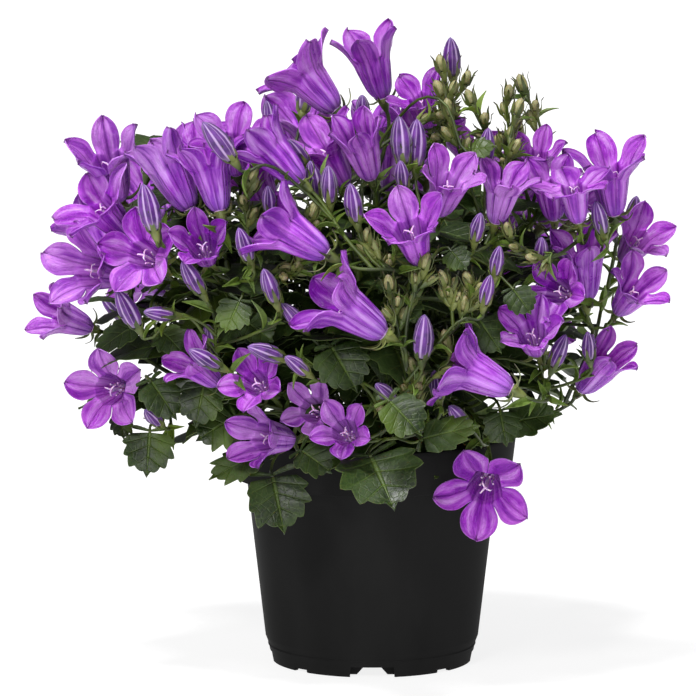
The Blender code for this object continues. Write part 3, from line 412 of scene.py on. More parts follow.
def readRoute(source, kind, base, ahead):  # a stalk's points, from what it grows from up to its end
    solid, stem, (rings, ringOf, links) = source
    end = base - ahead * made["straight"][kind]
    near = min(range(len(rings)), key=lambda number: (rings[number] - end).length)
    if (rings[near] - end).length > 0.2:
        return stemRoute(stem, end, ahead)
    neck = ahead * made["neck"]
    used = {near} | {number for number in links[near] if (rings[number] - end - neck).length < 0.5}
    route = [near]
    while True:
        last = rings[route[-1]]
        back = (last - rings[route[-2]]).normalized() if len(route) > 1 else -ahead
        corners = [index for index, number in ringOf.items() if number == route[-1]]
        around = [edge.other_vert(solid.verts[corner]) for corner in corners
                  for edge in solid.verts[corner].link_edges]
        roots = [vertex for vertex in around
                 if vertex.index not in ringOf and (vertex.co - last).dot(back) > 0.3]
        onward = links[route[-1]] - used
        if not onward and not roots:
            onward = nextRing(solid, ringOf, corners, used)
        if not onward:
            break
        route.append(max(onward, key=lambda number: (rings[number] - last).normalized().dot(back)))
        used.add(route[-1])
    points = [rings[number] for number in route]
    if roots:
        root = middleOf(roots)
        points.append(root + (root - points[-1]).normalized() * 0.8)
    elif len(points) == 1:
        return stemRoute(stem, end, ahead)
    return points[::-1]


def rootRoutes(stem, routes):  # a stalk whose foot was read short is led on to its main stem
    guides = stemGuide(stem - 1)[1:]
    rise = [curvePoint(guides, share / 30) for share in range(31)]
    for route in routes:
        others = rise + [a + (b - a) * step / 8 for other in routes if other is not route
                         for a, b in zip(other, other[1:]) for step in range(9)]
        if min((spot - route[0]).length for spot in others) > made["footRoom"]:
            onward = stemRoute(stem, route[0], (route[1] - route[0]).normalized())
            route[:0] = onward[:2]


def readPlant():  # the flowers, and for each stem its heads, each with the points of its stalk
    flowers = []
    for node in sorted(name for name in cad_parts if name.startswith("bloom")):
        flowers += readBlooms(node)
    heads = []
    out, height = made["sepal"]
    for stem in range(1, stems["count"] + 1):
        solid = solidMesh(f"stem_{stem}")
        source = (solid, stem, readRings(solid))
        points = np.array([vertex.co for vertex in solid.verts])
        mine = []
        for number, (_, base, axis, size, _, turn) in enumerate(flowers):
            sepal = base + turnedTo(axis, turn) @ Vector((out, 0.0, height)) * size
            if np.min(np.linalg.norm(points - np.array(sepal), axis=1)) < 0.05:
                mine.append((number, readRoute(source, "flower", base, axis)))
        large, small = readBuds(solid)
        large = [(*bud, readRoute(source, "large", *bud[:2])) for bud in large]
        small = [(*bud, readRoute(source, "small", *bud[:2])) for bud in small]
        blades = []
        for leaf in readLeaves(solid):
            ahead = (leaf[1] + leaf[2] * made["leafLean"]).normalized()
            blades.append((leaf, readRoute(source, "leaf", leaf[0], ahead)))
        rootRoutes(stem, [row[-1] for row in mine + large + small + blades])
        heads.append({"flowers": mine, "large": large, "small": small, "leaves": blades})
        solid.free()
    return flowers, heads


blooms, heads = readPlant()
print("flowers", len(blooms), "read from the solids")


class Wire:  # an output socket that can be reckoned with
    def __init__(self, finish, socket):
        self.finish = finish
        self.socket = socket

    def maths(self, operation, *values):
        return self.finish.add("ShaderNodeMath", {"operation": operation}, dict(enumerate(values)))

    def __add__(self, other):
        return self.maths("ADD", self, other)

    def __radd__(self, other):
        return self.maths("ADD", other, self)

    def __sub__(self, other):
        return self.maths("SUBTRACT", self, other)

    def __rsub__(self, other):
        return self.maths("SUBTRACT", other, self)

    def __mul__(self, other):
        return self.maths("MULTIPLY", self, other)

    def __rmul__(self, other):
        return self.maths("MULTIPLY", other, self)

    def moved(self, other):  # two vectors added
        return self.finish.add("ShaderNodeVectorMath", {"operation": "ADD"}, {0: self, 1: other})

    def fraction(self):
        return self.maths("FRACT", self)

    def size(self):
        return self.maths("ABSOLUTE", self)

    def between(self, low, high, atLow=0.0, atHigh=1.0):  # a soft step from one value to another
        settings = {"interpolation_type": "SMOOTHSTEP"}
        sockets = {0: self, 1: low, 2: high, 3: atLow, 4: atHigh}
        return self.finish.add("ShaderNodeMapRange", settings, sockets)


class Finish:  # a material and its nodes
    def __init__(self, name, **constants):
        self.material = bpy.data.materials.new(name)
        self.material.use_nodes = True
        self.tree = self.material.node_tree
        self.shader = self.tree.nodes["Principled BSDF"]
        for key, value in constants.items():
            self.shader.inputs[key.replace("_", " ")].default_value = value

    def add(self, kind, settings, sockets, output=0):
        node = self.tree.nodes.new(kind)
        for key, value in settings.items():
            setattr(node, key, value)
        for key, value in sockets.items():
            self.feed(node.inputs[key], value)
        return Wire(self, node.outputs[output])

    def feed(self, socket, value):
        if isinstance(value, Wire):
            self.tree.links.new(value.socket, socket)
        else:
            socket.default_value = value

    def into(self, key, value):
        self.feed(self.shader.inputs[key], value)

    def mix(self, mask, first, second):
        return self.add("ShaderNodeMix", {"data_type": "RGBA"}, {0: mask, 6: first, 7: second}, 2)

    def place(self, kind="Object"):
        return self.add("ShaderNodeTexCoord", {}, {}, kind)

    def parts(self, vector):
        outputs = self.add("ShaderNodeSeparateXYZ", {}, {0: vector}).socket.node.outputs
        return [Wire(self, outputs[n]) for n in range(3)]

    def noise(self, vector, scale, detail=3.0, roughness=0.5):
        sockets = {"Vector": vector, "Scale": scale, "Detail": detail, "Roughness": roughness}
        return self.add("ShaderNodeTexNoise", {}, sockets)

    def net(self, vector, scale):  # thin lines between cells
        settings = {"feature": "DISTANCE_TO_EDGE"}
        edge = self.add("ShaderNodeTexVoronoi", settings, {"Vector": vector, "Scale": scale})
        return edge.between(0.0, 0.09, 1.0, 0.0)

    def stretched(self, vector, scale):
        return self.add("ShaderNodeMapping", {}, {"Vector": vector, "Scale": scale})

    def bump(self, height, strength, distance):
        sockets = {"Height": height, "Strength": strength, "Distance": distance}
        self.into("Normal", self.add("ShaderNodeBump", {}, sockets))


def shade(red, green, blue):  # a screen colour, 0 to 255, as light
    linear = [((part / 255 + 0.055) / 1.055) ** 2.4 if part > 10 else part / 255 / 12.92
              for part in (red, green, blue)]
    return (*linear, 1.0)


def petalFinish(name, colours):  # u across the lobe, v from the base of the bell to the lobe's tip
    finish = Finish(name, Roughness=0.4, Sheen_Weight=0.02, Sheen_Roughness=0.4, Specular_IOR_Level=0.22,
                    Subsurface_Weight=0.25, Subsurface_Scale=0.003, Subsurface_Radius=(1.0, 0.4, 1.0))
    sheet = finish.place("UV")
    u, v, _ = finish.parts(sheet)
    aside = (u - 0.5).size() * 2.0
    place = finish.place()
    mottle = finish.noise(place, 120.0, 4.0)
    broad = finish.noise(place, 22.0, 2.0)
    streaks = finish.noise(finish.stretched(sheet, (30.0, 2.0, 1.0)), 1.0, 4.0)
    onLobe = v.between(0.5, 0.6)
    vein = ((aside * colours["veins"]).fraction() - 0.5).size().between(0.36, 0.5)
    crease = aside.between(0.0, 0.1, 1.0, 0.0)
    seam = aside.between(0.86, 1.0) * (1.0 - onLobe)
    folds = finish.stretched(sheet, (3.6, 1.4, 1.0)).moved(finish.stretched(place, (45.0, 45.0, 45.0)))
    folds = finish.noise(folds, 1.0, 2.0)
    # a band across each lobe's middle that takes painted highlight
    highlightRidge = aside.between(0.05, 0.45) * aside.between(0.45, 0.95, 1.0, 0.0)
    body = finish.mix((mottle + broad).between(0.8, 1.2), colours["body"], colours["light"])
    pale = finish.noise(place, 17.0, 1.0)  # some flowers are paler all over, some deeper
    body = finish.mix(pale.between(0.52, 0.66) * 0.45, body, colours["paleAndHighlight"])
    body = finish.mix(pale.between(0.36, 0.48, 1.0, 0.0) * 0.5, body, colours["deepAndShade"])
    # painted shade: the deeper violet is laid into the folds, where the bump dents the petal
    body = finish.mix(folds.between(0.46, 0.66) * 0.75, body, colours["deepAndShade"])
    # painted highlight: the paler violet on the raised parts of the lobes, across their middles
    body = finish.mix((highlightRidge * 0.6 + 0.2) * folds.between(0.34, 0.54, 1.0, 0.0), body, colours["paleAndHighlight"])
    body = finish.mix(streaks.between(0.5, 0.72) * 0.22, body, colours["deepAndShade"])
    net = finish.net(finish.stretched(sheet, (26.0, 9.0, 1.0)), 1.0) * onLobe
    body = finish.mix(net * 0.16, body, colours["deepAndShade"])
    body = finish.mix(vein * 0.1, body, colours["deepAndShade"])
    # painted shade: the deeper violet down each lobe's middle crease and in the seams between lobes
    body = finish.mix((crease + seam) * 0.32, body, colours["deepAndShade"])
    low = v.between(0.03, colours["paleTo"], 1.0, 0.0)
    body = finish.mix(low * colours["paleness"], body, colours["base"])
    body = finish.mix(aside.between(0.93, 0.99) * onLobe * 0.15, body, colours["edge"])
    body = finish.mix(v.between(0.975, 0.995) * 0.7, body, colours["tip"])
    finish.into("Base Color", body)
    finish.into("Roughness", mottle.between(0.2, 0.8, 0.2, 0.36))
    relief = streaks * 0.45 + mottle * 0.6 - folds * 2.2 - crease * 0.8 - seam * 0.9 - net * 0.2
    finish.bump(relief, 0.85, 0.001)
    return finish.material


# the paler violet serves paler flowers and painted highlight; the deeper violet serves deeper flowers,
# veins and painted shade
petalInside = petalFinish("petalInside", {
    "body": shade(156, 52, 190), "light": shade(188, 96, 216), "deepAndShade": shade(104, 8, 144),
    "paleAndHighlight": shade(206, 150, 228), "edge": shade(222, 176, 236), "base": shade(180, 116, 212),
    "tip": shade(60, 24, 70), "veins": 3.0, "paleTo": 0.36, "paleness": 0.6,
})
petalOutside = petalFinish("petalOutside", {
    "body": shade(152, 54, 190), "light": shade(184, 98, 216), "deepAndShade": shade(96, 12, 142),
    "paleAndHighlight": shade(202, 152, 230), "edge": shade(214, 164, 234), "base": shade(148, 96, 206),
    "tip": shade(60, 24, 70), "veins": 3.0, "paleTo": 0.3, "paleness": 0.45,
})


def styleMaterial():
    finish = Finish("styleWhite", Roughness=0.55, Subsurface_Weight=0.2, Subsurface_Scale=0.001)
    tone = finish.noise(finish.place(), 900.0, 2.0)
    body = finish.mix(tone.between(0.3, 0.7), shade(226, 196, 222), shade(190, 140, 200))
    finish.into("Base Color", body)
    finish.bump(tone, 0.3, 0.0002)
    return finish.material


def greenMaterial(name, low, high, gloss, tips=None):
    finish = Finish(name, Roughness=gloss, Subsurface_Weight=0.05, Subsurface_Scale=0.001)
    place = finish.place()
    tone = finish.noise(place, 90.0, 3.0)
    fine = finish.noise(finish.stretched(place, (1.0, 1.0, 0.25)), 900.0, 2.0)
    body = finish.mix(tone.between(0.35, 0.65), low, high)
    if tips:
        _, v, _ = finish.parts(finish.place("UV"))
        body = finish.mix(v.between(0.6, 0.95) * 0.85, body, tips)
    finish.into("Base Color", body)
    finish.bump(fine, 0.35, 0.0003)
    return finish.material


stalkGreen = greenMaterial("stalkGreen", shade(34, 46, 9), shade(70, 85, 22), 0.5)
cupGreen = greenMaterial("cupGreen", shade(58, 72, 28), shade(108, 116, 58), 0.5, shade(40, 34, 20))


# "fine" and "plain" are how many faces a blade has across, and how many rows for each tooth
leafShape = {"teeth": 5, "fine": (10, 7), "plain": (4, 2), "thickness": 0.32, "toothDepth": 0.13,
             "heart": 0.1, "ribBend": 1.9, "wave": 0.035, "puff": 0.013}


def leafMaterial(name, colours):  # u across the blade, v along its ribs' roots
    finish = Finish(name, Roughness=0.46, Specular_IOR_Level=0.35, Subsurface_Weight=0.04,
                    Subsurface_Scale=0.001)
    u, v, _ = finish.parts(finish.place("UV"))
    aside = (u - 0.5).size() * 2.0
    place = finish.place()
    tone = finish.noise(place, 50.0, 4.0)
    cells = finish.noise(place, 700.0, 3.0)
    teeth = float(leafShape["teeth"])
    rib = ((v * teeth + 0.2).fraction() - 0.5).size().between(0.4, 0.5)
    rib = rib * aside.between(0.1, 1.0, 1.0, 0.3)
    midrib = aside.between(0.02, 0.09, 1.0, 0.0)
    twigs = finish.net(place, 330.0)
    body = finish.mix(tone.between(0.35, 0.65), colours["dark"], colours["mid"])
    fresh = finish.noise(place, 24.0, 2.0)
    body = finish.mix(fresh.between(0.56, 0.68) * 0.55, body, colours["fresh"])
    body = finish.mix(cells.between(0.4, 0.65) * 0.35, body, colours["haze"])
    body = finish.mix(twigs * 0.05, body, colours["vein"])
    body = finish.mix(rib * 0.16, body, colours["vein"])
    body = finish.mix(midrib * 0.26, body, colours["vein"])
    body = finish.mix(aside.between(0.96, 1.0) * 0.15, body, colours["edge"])
    finish.into("Base Color", body)
    finish.into("Roughness", tone.between(0.3, 0.7, 0.4, 0.58))
    finish.bump(0.0 - rib * 0.6 - midrib * 0.9 - twigs * 0.12 + cells * 0.2, colours["relief"], 0.0006)
    return finish.material


leafTop = leafMaterial("leafTop", {
    "dark": shade(16, 31, 5), "mid": shade(37, 56, 13), "haze": shade(58, 74, 30),
    "fresh": shade(84, 106, 20), "vein": shade(106, 130, 50), "edge": shade(120, 138, 66), "relief": 0.8,
})
leafUnder = leafMaterial("leafUnder", {
    "dark": shade(56, 78, 18), "mid": shade(86, 110, 30), "haze": shade(102, 122, 54),
    "fresh": shade(118, 140, 40), "vein": shade(140, 160, 84), "edge": shade(130, 146, 90), "relief": -0.6,
})


def budFinish(name, look, **constants):  # u round the bud, v from its base to its tip
    finish = Finish(name, Subsurface_Scale=0.001, **constants)
    u, v, _ = finish.parts(finish.place("UV"))
    tone = finish.noise(finish.place(), look["grain"], 3.0)
    rib = ((u * 5.0).fraction() - 0.5).size().between(*look["rib"])
    line = ((u * 10.0).fraction() - 0.5).size().between(0.38, 0.47, 0.0, look["lines"])
    rib = rib.maths("MAXIMUM", rib, line)
    body = finish.mix(tone.between(0.3, 0.7), look["dark"], look["mid"])
    body = finish.mix(rib * look["ribShare"], body, look["ribs"])
    body = finish.mix(v.between(0.0, look["lowTo"], 1.0, 0.0) * 0.7, body, look["low"])
    body = finish.mix(v.between(look["tipFrom"], 1.0) * 0.5, body, look["tip"])
    finish.into("Base Color", body)
    finish.bump(rib + tone * 0.4, *look["relief"])
    return finish.material


violetBud = budFinish("budRibbed", {
    "grain": 260.0, "rib": (0.34, 0.46), "lines": 0.6, "dark": shade(54, 16, 84),
    "mid": shade(96, 40, 130), "ribs": shade(196, 166, 214), "ribShare": 0.7,
    "low": shade(150, 134, 160), "lowTo": 0.26,
    "tip": shade(112, 84, 150), "tipFrom": 0.86, "relief": (0.45, 0.0005),
}, Roughness=0.45, Specular_IOR_Level=0.4, Sheen_Weight=0.15, Subsurface_Weight=0.08)
greenBud = budFinish("budGreen", {
    "grain": 300.0, "rib": (0.3, 0.5), "lines": 0.0, "dark": shade(104, 106, 56),
    "mid": shade(154, 150, 104), "ribs": shade(186, 178, 140), "ribShare": 0.4,
    "low": shade(82, 96, 40), "lowTo": 0.35,
    "tip": shade(120, 100, 96), "tipFrom": 0.8, "relief": (0.4, 0.0004),
}, Roughness=0.5, Subsurface_Weight=0.15)


def potMaterial():
    finish = Finish("potBlackPlastic", Roughness=0.55, Specular_IOR_Level=0.012)
    place = finish.place()
    grain = finish.noise(place, 2600.0, 2.0)
    haze = finish.noise(finish.stretched(place, (1.0, 1.0, 0.35)), 28.0, 4.0)
    dust = finish.noise(place, 420.0, 5.0, 0.7)
    body = finish.mix(haze.between(0.35, 0.7), shade(26, 26, 26), shade(31, 31, 31))
    body = finish.mix(dust.between(0.64, 0.82) * 0.08, body, shade(60, 57, 52))
    finish.into("Base Color", body)
    finish.into("Roughness", haze.between(0.3, 0.75, 0.5, 0.6))
    finish.bump(grain * 0.5 + haze * 0.6, 0.12, 0.0004)
    return finish.material


def soilMaterial():
    finish = Finish("peat", Roughness=0.95, Specular_IOR_Level=0.15)
    place = finish.place()
    crumbs = finish.noise(place, 420.0, 6.0, 0.7)
    fibres = finish.noise(finish.stretched(place, (3.0, 0.4, 1.0)), 500.0, 4.0)
    body = finish.mix(crumbs.between(0.3, 0.75), shade(28, 20, 15), shade(74, 54, 38))
    body = finish.mix(fibres.between(0.62, 0.7) * 0.5, body, shade(110, 84, 58))
    finish.into("Base Color", body)
    finish.bump(crumbs + fibres * 0.4, 0.9, 0.0012)
    return finish.material


# where the pot's foot and axis are in the picture's points, and how many mm one point is there
view = {"pointSize": 0.415, "middle": 348, "baseRow": 660, "axisColumn": 372,
        "distance": 2500.0, "rise": math.radians(8.5), "lens": 311.6}


def addCamera():
    forward = Vector((0.0, math.cos(view["rise"]), -math.sin(view["rise"])))
    aside = (view["middle"] - view["axisColumn"]) * view["pointSize"]
    height = (view["baseRow"] - view["middle"]) * view["pointSize"] / math.cos(view["rise"])
    target = potAt + Vector((aside, 0.0, height))
    spot = (target - forward * view["distance"]) * mm
    deselect()
    bpy.ops.object.camera_add(location=spot, rotation=(math.radians(90) - view["rise"], 0, 0))
    camera = bpy.context.object
    camera.data.lens = view["lens"]
    camera.data.sensor_width = 36
    camera.data.clip_end = 20
    bpy.context.scene.camera = camera


lamps = [  # place in metres, size, power, colour
    ((-0.45, -1.2, 0.9), 0.3, 9.5, (1.0, 0.99, 0.97)),
    ((0.1, -1.9, 0.2), 0.4, 8.5, (1.0, 1.0, 1.0)),
]
room = {"sun": 3.8, "sunSpread": 12.0, "sunTurn": (-16.0, -10.0), "walls": 0.24, "floorGlow": 0.84,
        "aim": (0.0, 0.0, 0.14)}


def addLights():
    for spot, size, power, colour in lamps:
        deselect()
        turn = (Vector(room["aim"]) - Vector(spot)).to_track_quat("-Z", "Y").to_euler()
        bpy.ops.object.light_add(type="AREA", location=spot, rotation=turn)
        lamp = bpy.context.object.data
        lamp.shape = "DISK"
        lamp.size = size
        lamp.energy = power
        lamp.color = colour
    deselect()
    lean, tip = (math.radians(part) for part in room["sunTurn"])
    bpy.ops.object.light_add(type="SUN", location=(0, 0, 2), rotation=(-lean, tip, 0))
    sky = bpy.context.object.data
    sky.energy = room["sun"]
    sky.angle = math.radians(room["sunSpread"])
    world = bpy.data.worlds.new("paleRoom")
    bpy.context.scene.world = world
    world.use_nodes = True
    walls = world.node_tree.nodes["Background"].inputs
    walls["Color"].default_value = (0.97, 0.98, 1.0, 1.0)
    walls["Strength"].default_value = room["walls"]
    bpy.context.scene.view_settings.view_transform = "Standard"


def addFloor():
    floor = start("floor", bpy.ops.mesh.primitive_plane_add, size=12)
    finish = Finish("paleFloor", Roughness=0.9, Specular_IOR_Level=0.1, Emission_Color=(1.0, 1.0, 1.0, 1.0),
                    Emission_Strength=room["floorGlow"])
    tone = finish.noise(finish.place(), 3.0, 2.0)
    finish.into("Base Color", finish.mix(tone, shade(136, 136, 136), shade(139, 139, 139)))
    floor.data.materials.append(finish.material)


addCamera()
addLights()
addFloor()
print("camera, lights and floor")


pot = {"steps": 128, "foot": 41.9, "opening": (19.0, 9.0, 8.8), "openingShare": 0.93, "openingOut": 4.6,
       "break": (7.3, 12.0, 2.6), "web": (29.0, 1.2, 4.5), "webAt": 37.0, "webMiddle": 2.85,
       "webCut": (15.5, 6.0, 4.4), "webCutShare": 7.6 / 15.5, "webCutMiddle": 1.2,
       "drainAt": 22.0, "drainRadius": 4.5, "drainDepth": 8.0, "drainMiddle": 5.0, "drainSides": 24,
       "drainTurn": 0.6}
potProfile = [  # radius and height, from under the floor out and up, over the rim and down inside
    (0.0, 4.6), (38.9, 4.6), (39.4, 4.1), (39.6, 0.3), (39.9, 0.0), (41.5, 0.0), (41.9, 0.4),
    (42.95, 6.3), (43.35, 6.7), (43.35, 7.1), (43.2, 7.4), (44.2, 10.0), (44.4, 10.5), (52.2, 77.4),
    (52.6, 77.9), (53.0, 78.1), (57.5, 78.1), (57.9, 78.3), (58.05, 78.8), (59.85, 93.9), (60.0, 94.6),
    (60.05, 95.4), (59.9, 96.0), (59.5, 96.3), (58.8, 96.3), (58.4, 96.1), (58.25, 95.6),
    (56.85, 80.1), (56.5, 79.6), (51.5, 79.4), (51.1, 79.0), (43.25, 11.2), (43.1, 10.5),
    (41.7, 6.6), (41.0, 6.0), (0.0, 6.0),
]


def cutter(size, middle, turn, topShare=1.0):  # a block, narrower at its top, turned round the axis
    block = settle(start("cutter", bpy.ops.mesh.primitive_cube_add, size=mm, location=Vector(middle) * mm,
                         scale=size))
    if topShare != 1.0:
        edit(block)
        bpy.ops.mesh.select_all(action="DESELECT")
        bpy.ops.object.mode_set(mode="OBJECT")
        for vertex in block.data.vertices:
            vertex.select = vertex.co.z > middle[2] * mm
        bpy.ops.object.mode_set(mode="EDIT")
        bpy.ops.transform.resize(value=(topShare, 1, 1))
        bpy.ops.object.mode_set(mode="OBJECT")
    block.rotation_euler.z = turn
    return settle(block)


def combine(piece, tool, operation="DIFFERENCE"):  # a tool is cut out of a piece, or joined on
    modify(piece, "BOOLEAN", object=tool, operation=operation, solver="EXACT")
    shed(tool)


def makePot():
    piece = lathe("nurseryPot", potProfile, pot["steps"])
    turns = [math.radians(90) * quarter for quarter in range(4)]
    for turn in turns:
        combine(piece, cutter(pot["web"], (0, -pot["webAt"], pot["webMiddle"]), turn), "UNION")
    for turn in turns:  # an opening in the foot, the web behind it lower, a break and a drain hole
        before = (0, -pot["webAt"] - pot["web"][1] / 2 - pot["openingOut"], 0)
        combine(piece, cutter(pot["opening"], before, turn, pot["openingShare"]))
        behind = (0, -pot["webAt"], pot["webCutMiddle"])
        combine(piece, cutter(pot["webCut"], behind, turn, pot["webCutShare"]))
        combine(piece, cutter(pot["break"], (0, -pot["foot"], 0), turn + math.radians(45)))
        angle = turn + pot["drainTurn"]
        spot = Vector((math.cos(angle), math.sin(angle), 0.0)) * pot["drainAt"] + up * pot["drainMiddle"]
        drain = start("drain", bpy.ops.mesh.primitive_cylinder_add, vertices=pot["drainSides"],
                      radius=pot["drainRadius"] * mm, depth=pot["drainDepth"] * mm, location=spot * mm)
        combine(piece, settle(drain))
    for vertex in piece.data.vertices:
        vertex.co += potAt * mm
    return finishPiece(smooth(piece, 38), "pot", [potMaterial()])


makePot()
print("pot")


soil = {"edge": 87.0, "middle": 89.6, "radius": 56.2, "rows": 34, "steps": 90, "relief": 1.6, "waves": 60,
        "seed": 4, "crumbs": 520, "crumbReach": 55.0, "crumbSizes": ((0.5, 1.9), (0.5, 1.5), (0.4, 1.1)),
        "under": [(0.0, 6.3), (40.8, 6.3), (42.8, 10.8), (50.7, 79.3), (50.7, 79.9), (56.4, 79.9),
                  (56.9, 86.5)]}


def makeSoil():
    profile = list(soil["under"])
    for row in range(soil["rows"] + 1):
        share = 1.0 - row / soil["rows"]
        height = soil["middle"] - (soil["middle"] - soil["edge"]) * share ** 2
        profile.append((soil["radius"] * share, height))
    piece = lathe("peatSoil", profile, soil["steps"])
    chance = random.Random(soil["seed"])
    points = pointsOf(piece) / mm
    top = points[:, 2] > soil["edge"] - 0.2
    waves = np.zeros(len(points))
    for _ in range(soil["waves"]):
        reach = chance.uniform(0.25, 2.2)
        angle = chance.uniform(0, math.tau)
        waves += np.sin(points[:, 0] * reach * math.cos(angle) + points[:, 1] * reach * math.sin(angle)
                        + chance.uniform(0, math.tau)) * chance.uniform(0.3, 1.0) / (0.6 + reach)
    relief = np.clip(waves / 6.0, -0.8, 0.8) * soil["relief"] * 0.5
    points[:, 2] += np.where(top, relief, 0.0)
    points += np.array(potAt)
    putPoints(piece, points * mm)
    crumb = start("crumb", bpy.ops.mesh.primitive_ico_sphere_add, subdivisions=1, radius=1.0)
    spots = []
    for _ in range(soil["crumbs"]):
        angle = chance.uniform(0, math.tau)
        reach = soil["crumbReach"] * math.sqrt(chance.random())
        height = soil["middle"] - (soil["middle"] - soil["edge"]) * (reach / soil["radius"]) ** 2
        spot = potAt + Vector((reach * math.cos(angle), reach * math.sin(angle), height + 0.1))
        size = Vector([chance.uniform(*span) for span in soil["crumbSizes"]])
        lean = Matrix.Rotation(chance.uniform(0, math.tau), 4, "Z")
        spots.append(Matrix.Translation(spot * mm) @ lean @ Matrix.Diagonal((*(size * mm), 1.0)))
    finish = soilMaterial()
    scatter("peatCrumbs", "soil", crumb, spots, finish, 50)
    shed(crumb)
    return finishPiece(smooth(piece, 45), "soil", [finish])


makeSoil()
print("soil")


bell = {"seed": 700, "across": 10, "along": 28, "hub": 0.2, "tubeShare": 0.46, "lobeSpread": 0.9,
        "thickness": 0.42, "throat": 15.5, "notch": 18.5, "mouthRadius": 7.4, "lobeLength": 15.6,
        "wave": 0.8, "cup": 1.35, "joined": 0.715,
        "flares": (24, 44, 64), "widths": (0.76, 0.84, 1.0), "rooms": (0.58, 0.62, 0.7),
        "tubeHeights": (0, 0.25, 1.5, 3.0, 4.5, 9, 14, 18.5),
        "tubeRadii": (0.3, 1.8, 3.3, 4.2, 4.8, 5.8, 6.8, 7.4),
        "lobeShares": (0, 0.12, 0.28, 0.42, 0.56, 0.7, 0.82, 0.91, 0.965, 1.0),
        "lobeWidths": (4.6, 5.9, 6.9, 7.3, 7.1, 6.3, 4.9, 3.1, 1.5, 0.1),
        # a lobe's tilt and curl in degrees, breadth, lean, and the start and number of its waves
        "chances": ((-12, 12), (-14, 20), (0.88, 1.08), (-1.2, 1.2), (0, math.tau), (5.0, 8.0))}


def bellPattern():  # five lobes laid out flat as a star, joined where the tube is one sheet
    lobes = []
    for lobe in range(5):
        sheet = gridSheet("lobe", bell["across"], bell["along"])
        points = pointsOf(sheet)
        aside = points[:, 0] * 2
        along = points[:, 1] + 0.5
        spread = np.where(along <= bell["tubeShare"] + 1e-4, 1.0, bell["lobeSpread"])
        angle = np.radians(72 * lobe + 36 * aside * spread)
        reach = bell["hub"] + along
        putPoints(sheet, np.column_stack((reach * np.cos(angle), reach * np.sin(angle), along * 0)))
        lobes.append(sheet)
    return merge(joined(lobes, "bellPattern"), 0.0001, outwards=False)


def readPattern(pattern):  # each point's lobe, place across it and place along it
    points = pointsOf(pattern)
    along = np.hypot(points[:, 0], points[:, 1]) - bell["hub"]
    angle = np.degrees(np.arctan2(points[:, 1], points[:, 0])) % 360
    lobe = np.round(angle / 72).astype(int)
    spread = np.where(along <= bell["tubeShare"] + 1e-3, 1.0, bell["lobeSpread"])
    aside = np.clip((angle - 72 * lobe) / 36 / spread, -1.0, 1.0)
    return lobe % 5, aside, np.clip(along, 0.0, 1.0)


def tubePoints(aside, along):  # a fifth of the tube, with its rib and seams
    share = np.clip(along / bell["tubeShare"], 0.0, 1.0)
    topLine = bell["throat"] + (bell["notch"] - bell["throat"]) * np.abs(aside) ** 1.6
    height = share * topLine
    radius = np.interp(height, bell["tubeHeights"], bell["tubeRadii"])
    ribs = 0.06 * np.cos(np.pi * aside) + 0.03 * np.cos(2 * np.pi * aside)
    radius = radius * (1.0 + ribs * np.clip(height / 6, 0, 1))
    angle = np.radians(36 * aside)
    return np.column_stack((radius * np.cos(angle), radius * np.sin(angle), height))


def lobePoints(aside, along, flare, width, chance):  # one lobe, which curls, waves and leans by chance
    tilt, curl, broad, lean, phase, beats = (chance.uniform(*span) for span in bell["chances"])
    steps = np.linspace(0, 1, 41)
    first = math.radians(max(flare - 26, 2))
    last = math.radians(flare + 20) + math.radians(curl)
    slopes = first + (last - first) * steps ** 0.9 + math.radians(tilt) * steps
    out = np.concatenate(([0], np.cumsum(np.sin(slopes)[:-1]))) * bell["lobeLength"] / 40
    high = np.concatenate(([0], np.cumsum(np.cos(slopes)[:-1]))) * bell["lobeLength"] / 40
    out += bell["mouthRadius"] * 1.04
    high += bell["throat"]
    tip = tipPlace(flare)
    out += (tip[0] - out[-1]) * steps * 0.75
    high += (tip[1] - high[-1]) * steps * 0.75
    radius, height, slope = (np.interp(along, steps, line) for line in (out, high, slopes))
    hollow = bell["cup"] * np.abs(aside) ** 1.6 * np.sin(np.clip(along * 1.25, 0, 1) * np.pi * 0.62)
    wave = np.abs(aside) ** 1.5 * along * np.sin(phase + beats * along + 1.7 * np.sign(aside))
    lift = hollow + bell["wave"] * wave - 0.35 * np.exp(-(aside * 6) ** 2) * np.minimum(along * 4, 1)
    room = float(np.interp(flare, bell["flares"], bell["rooms"]))  # so that lobes stay apart
    half = np.minimum(width * broad, np.interp(along, [0, 0.15], [bell["joined"], room]) * radius)
    sidewise = aside * half + lean * along ** 1.5
    return np.column_stack((radius - np.cos(slope) * lift, sidewise, height + np.sin(slope) * lift))


def bellPoints(readout, flare, chance):
    lobe, aside, along = readout
    tube = tubePoints(aside, along)
    along = np.clip((along - bell["tubeShare"]) / (1 - bell["tubeShare"]), 0.0, 1.0)
    width = np.interp(along, bell["lobeShares"], bell["lobeWidths"])
    width = width * np.interp(flare, bell["flares"], bell["widths"])  # a narrow bell has slim lobes
    lobes = np.zeros_like(tube)
    for number in range(5):
        mine = lobe == number
        lobes[mine] = lobePoints(aside[mine], along[mine], flare, width[mine], chance)
    blend = np.clip(along / 0.34, 0, 1)
    blend = (blend * blend * (3 - 2 * blend))[:, None]
    onward = tube + np.column_stack((along * 1.2, along * 0, along * 5.5))
    shape = np.where((along > 0)[:, None], onward * (1 - blend) + lobes * blend, tube)
    turn = np.radians(72 * lobe)
    return np.column_stack((shape[:, 0] * np.cos(turn) - shape[:, 1] * np.sin(turn),
                            shape[:, 0] * np.sin(turn) + shape[:, 1] * np.cos(turn), shape[:, 2]))


style = {"length": 15.5, "radius": 0.55, "ovaryRadius": 2.6, "ovaryHeight": 3.0, "ovaryAt": 1.9,
         "stigma": [(0, 0, 16.1), (0.9, 0, 17.5), (2.3, 0, 18.1), (2.9, 0, 16.9)],
         "stamen": [(1.6, 0, 2.4), (2.6, 0, 5.5), (1.9, 0, 8.5), (2.8, 0, 11.0)]}


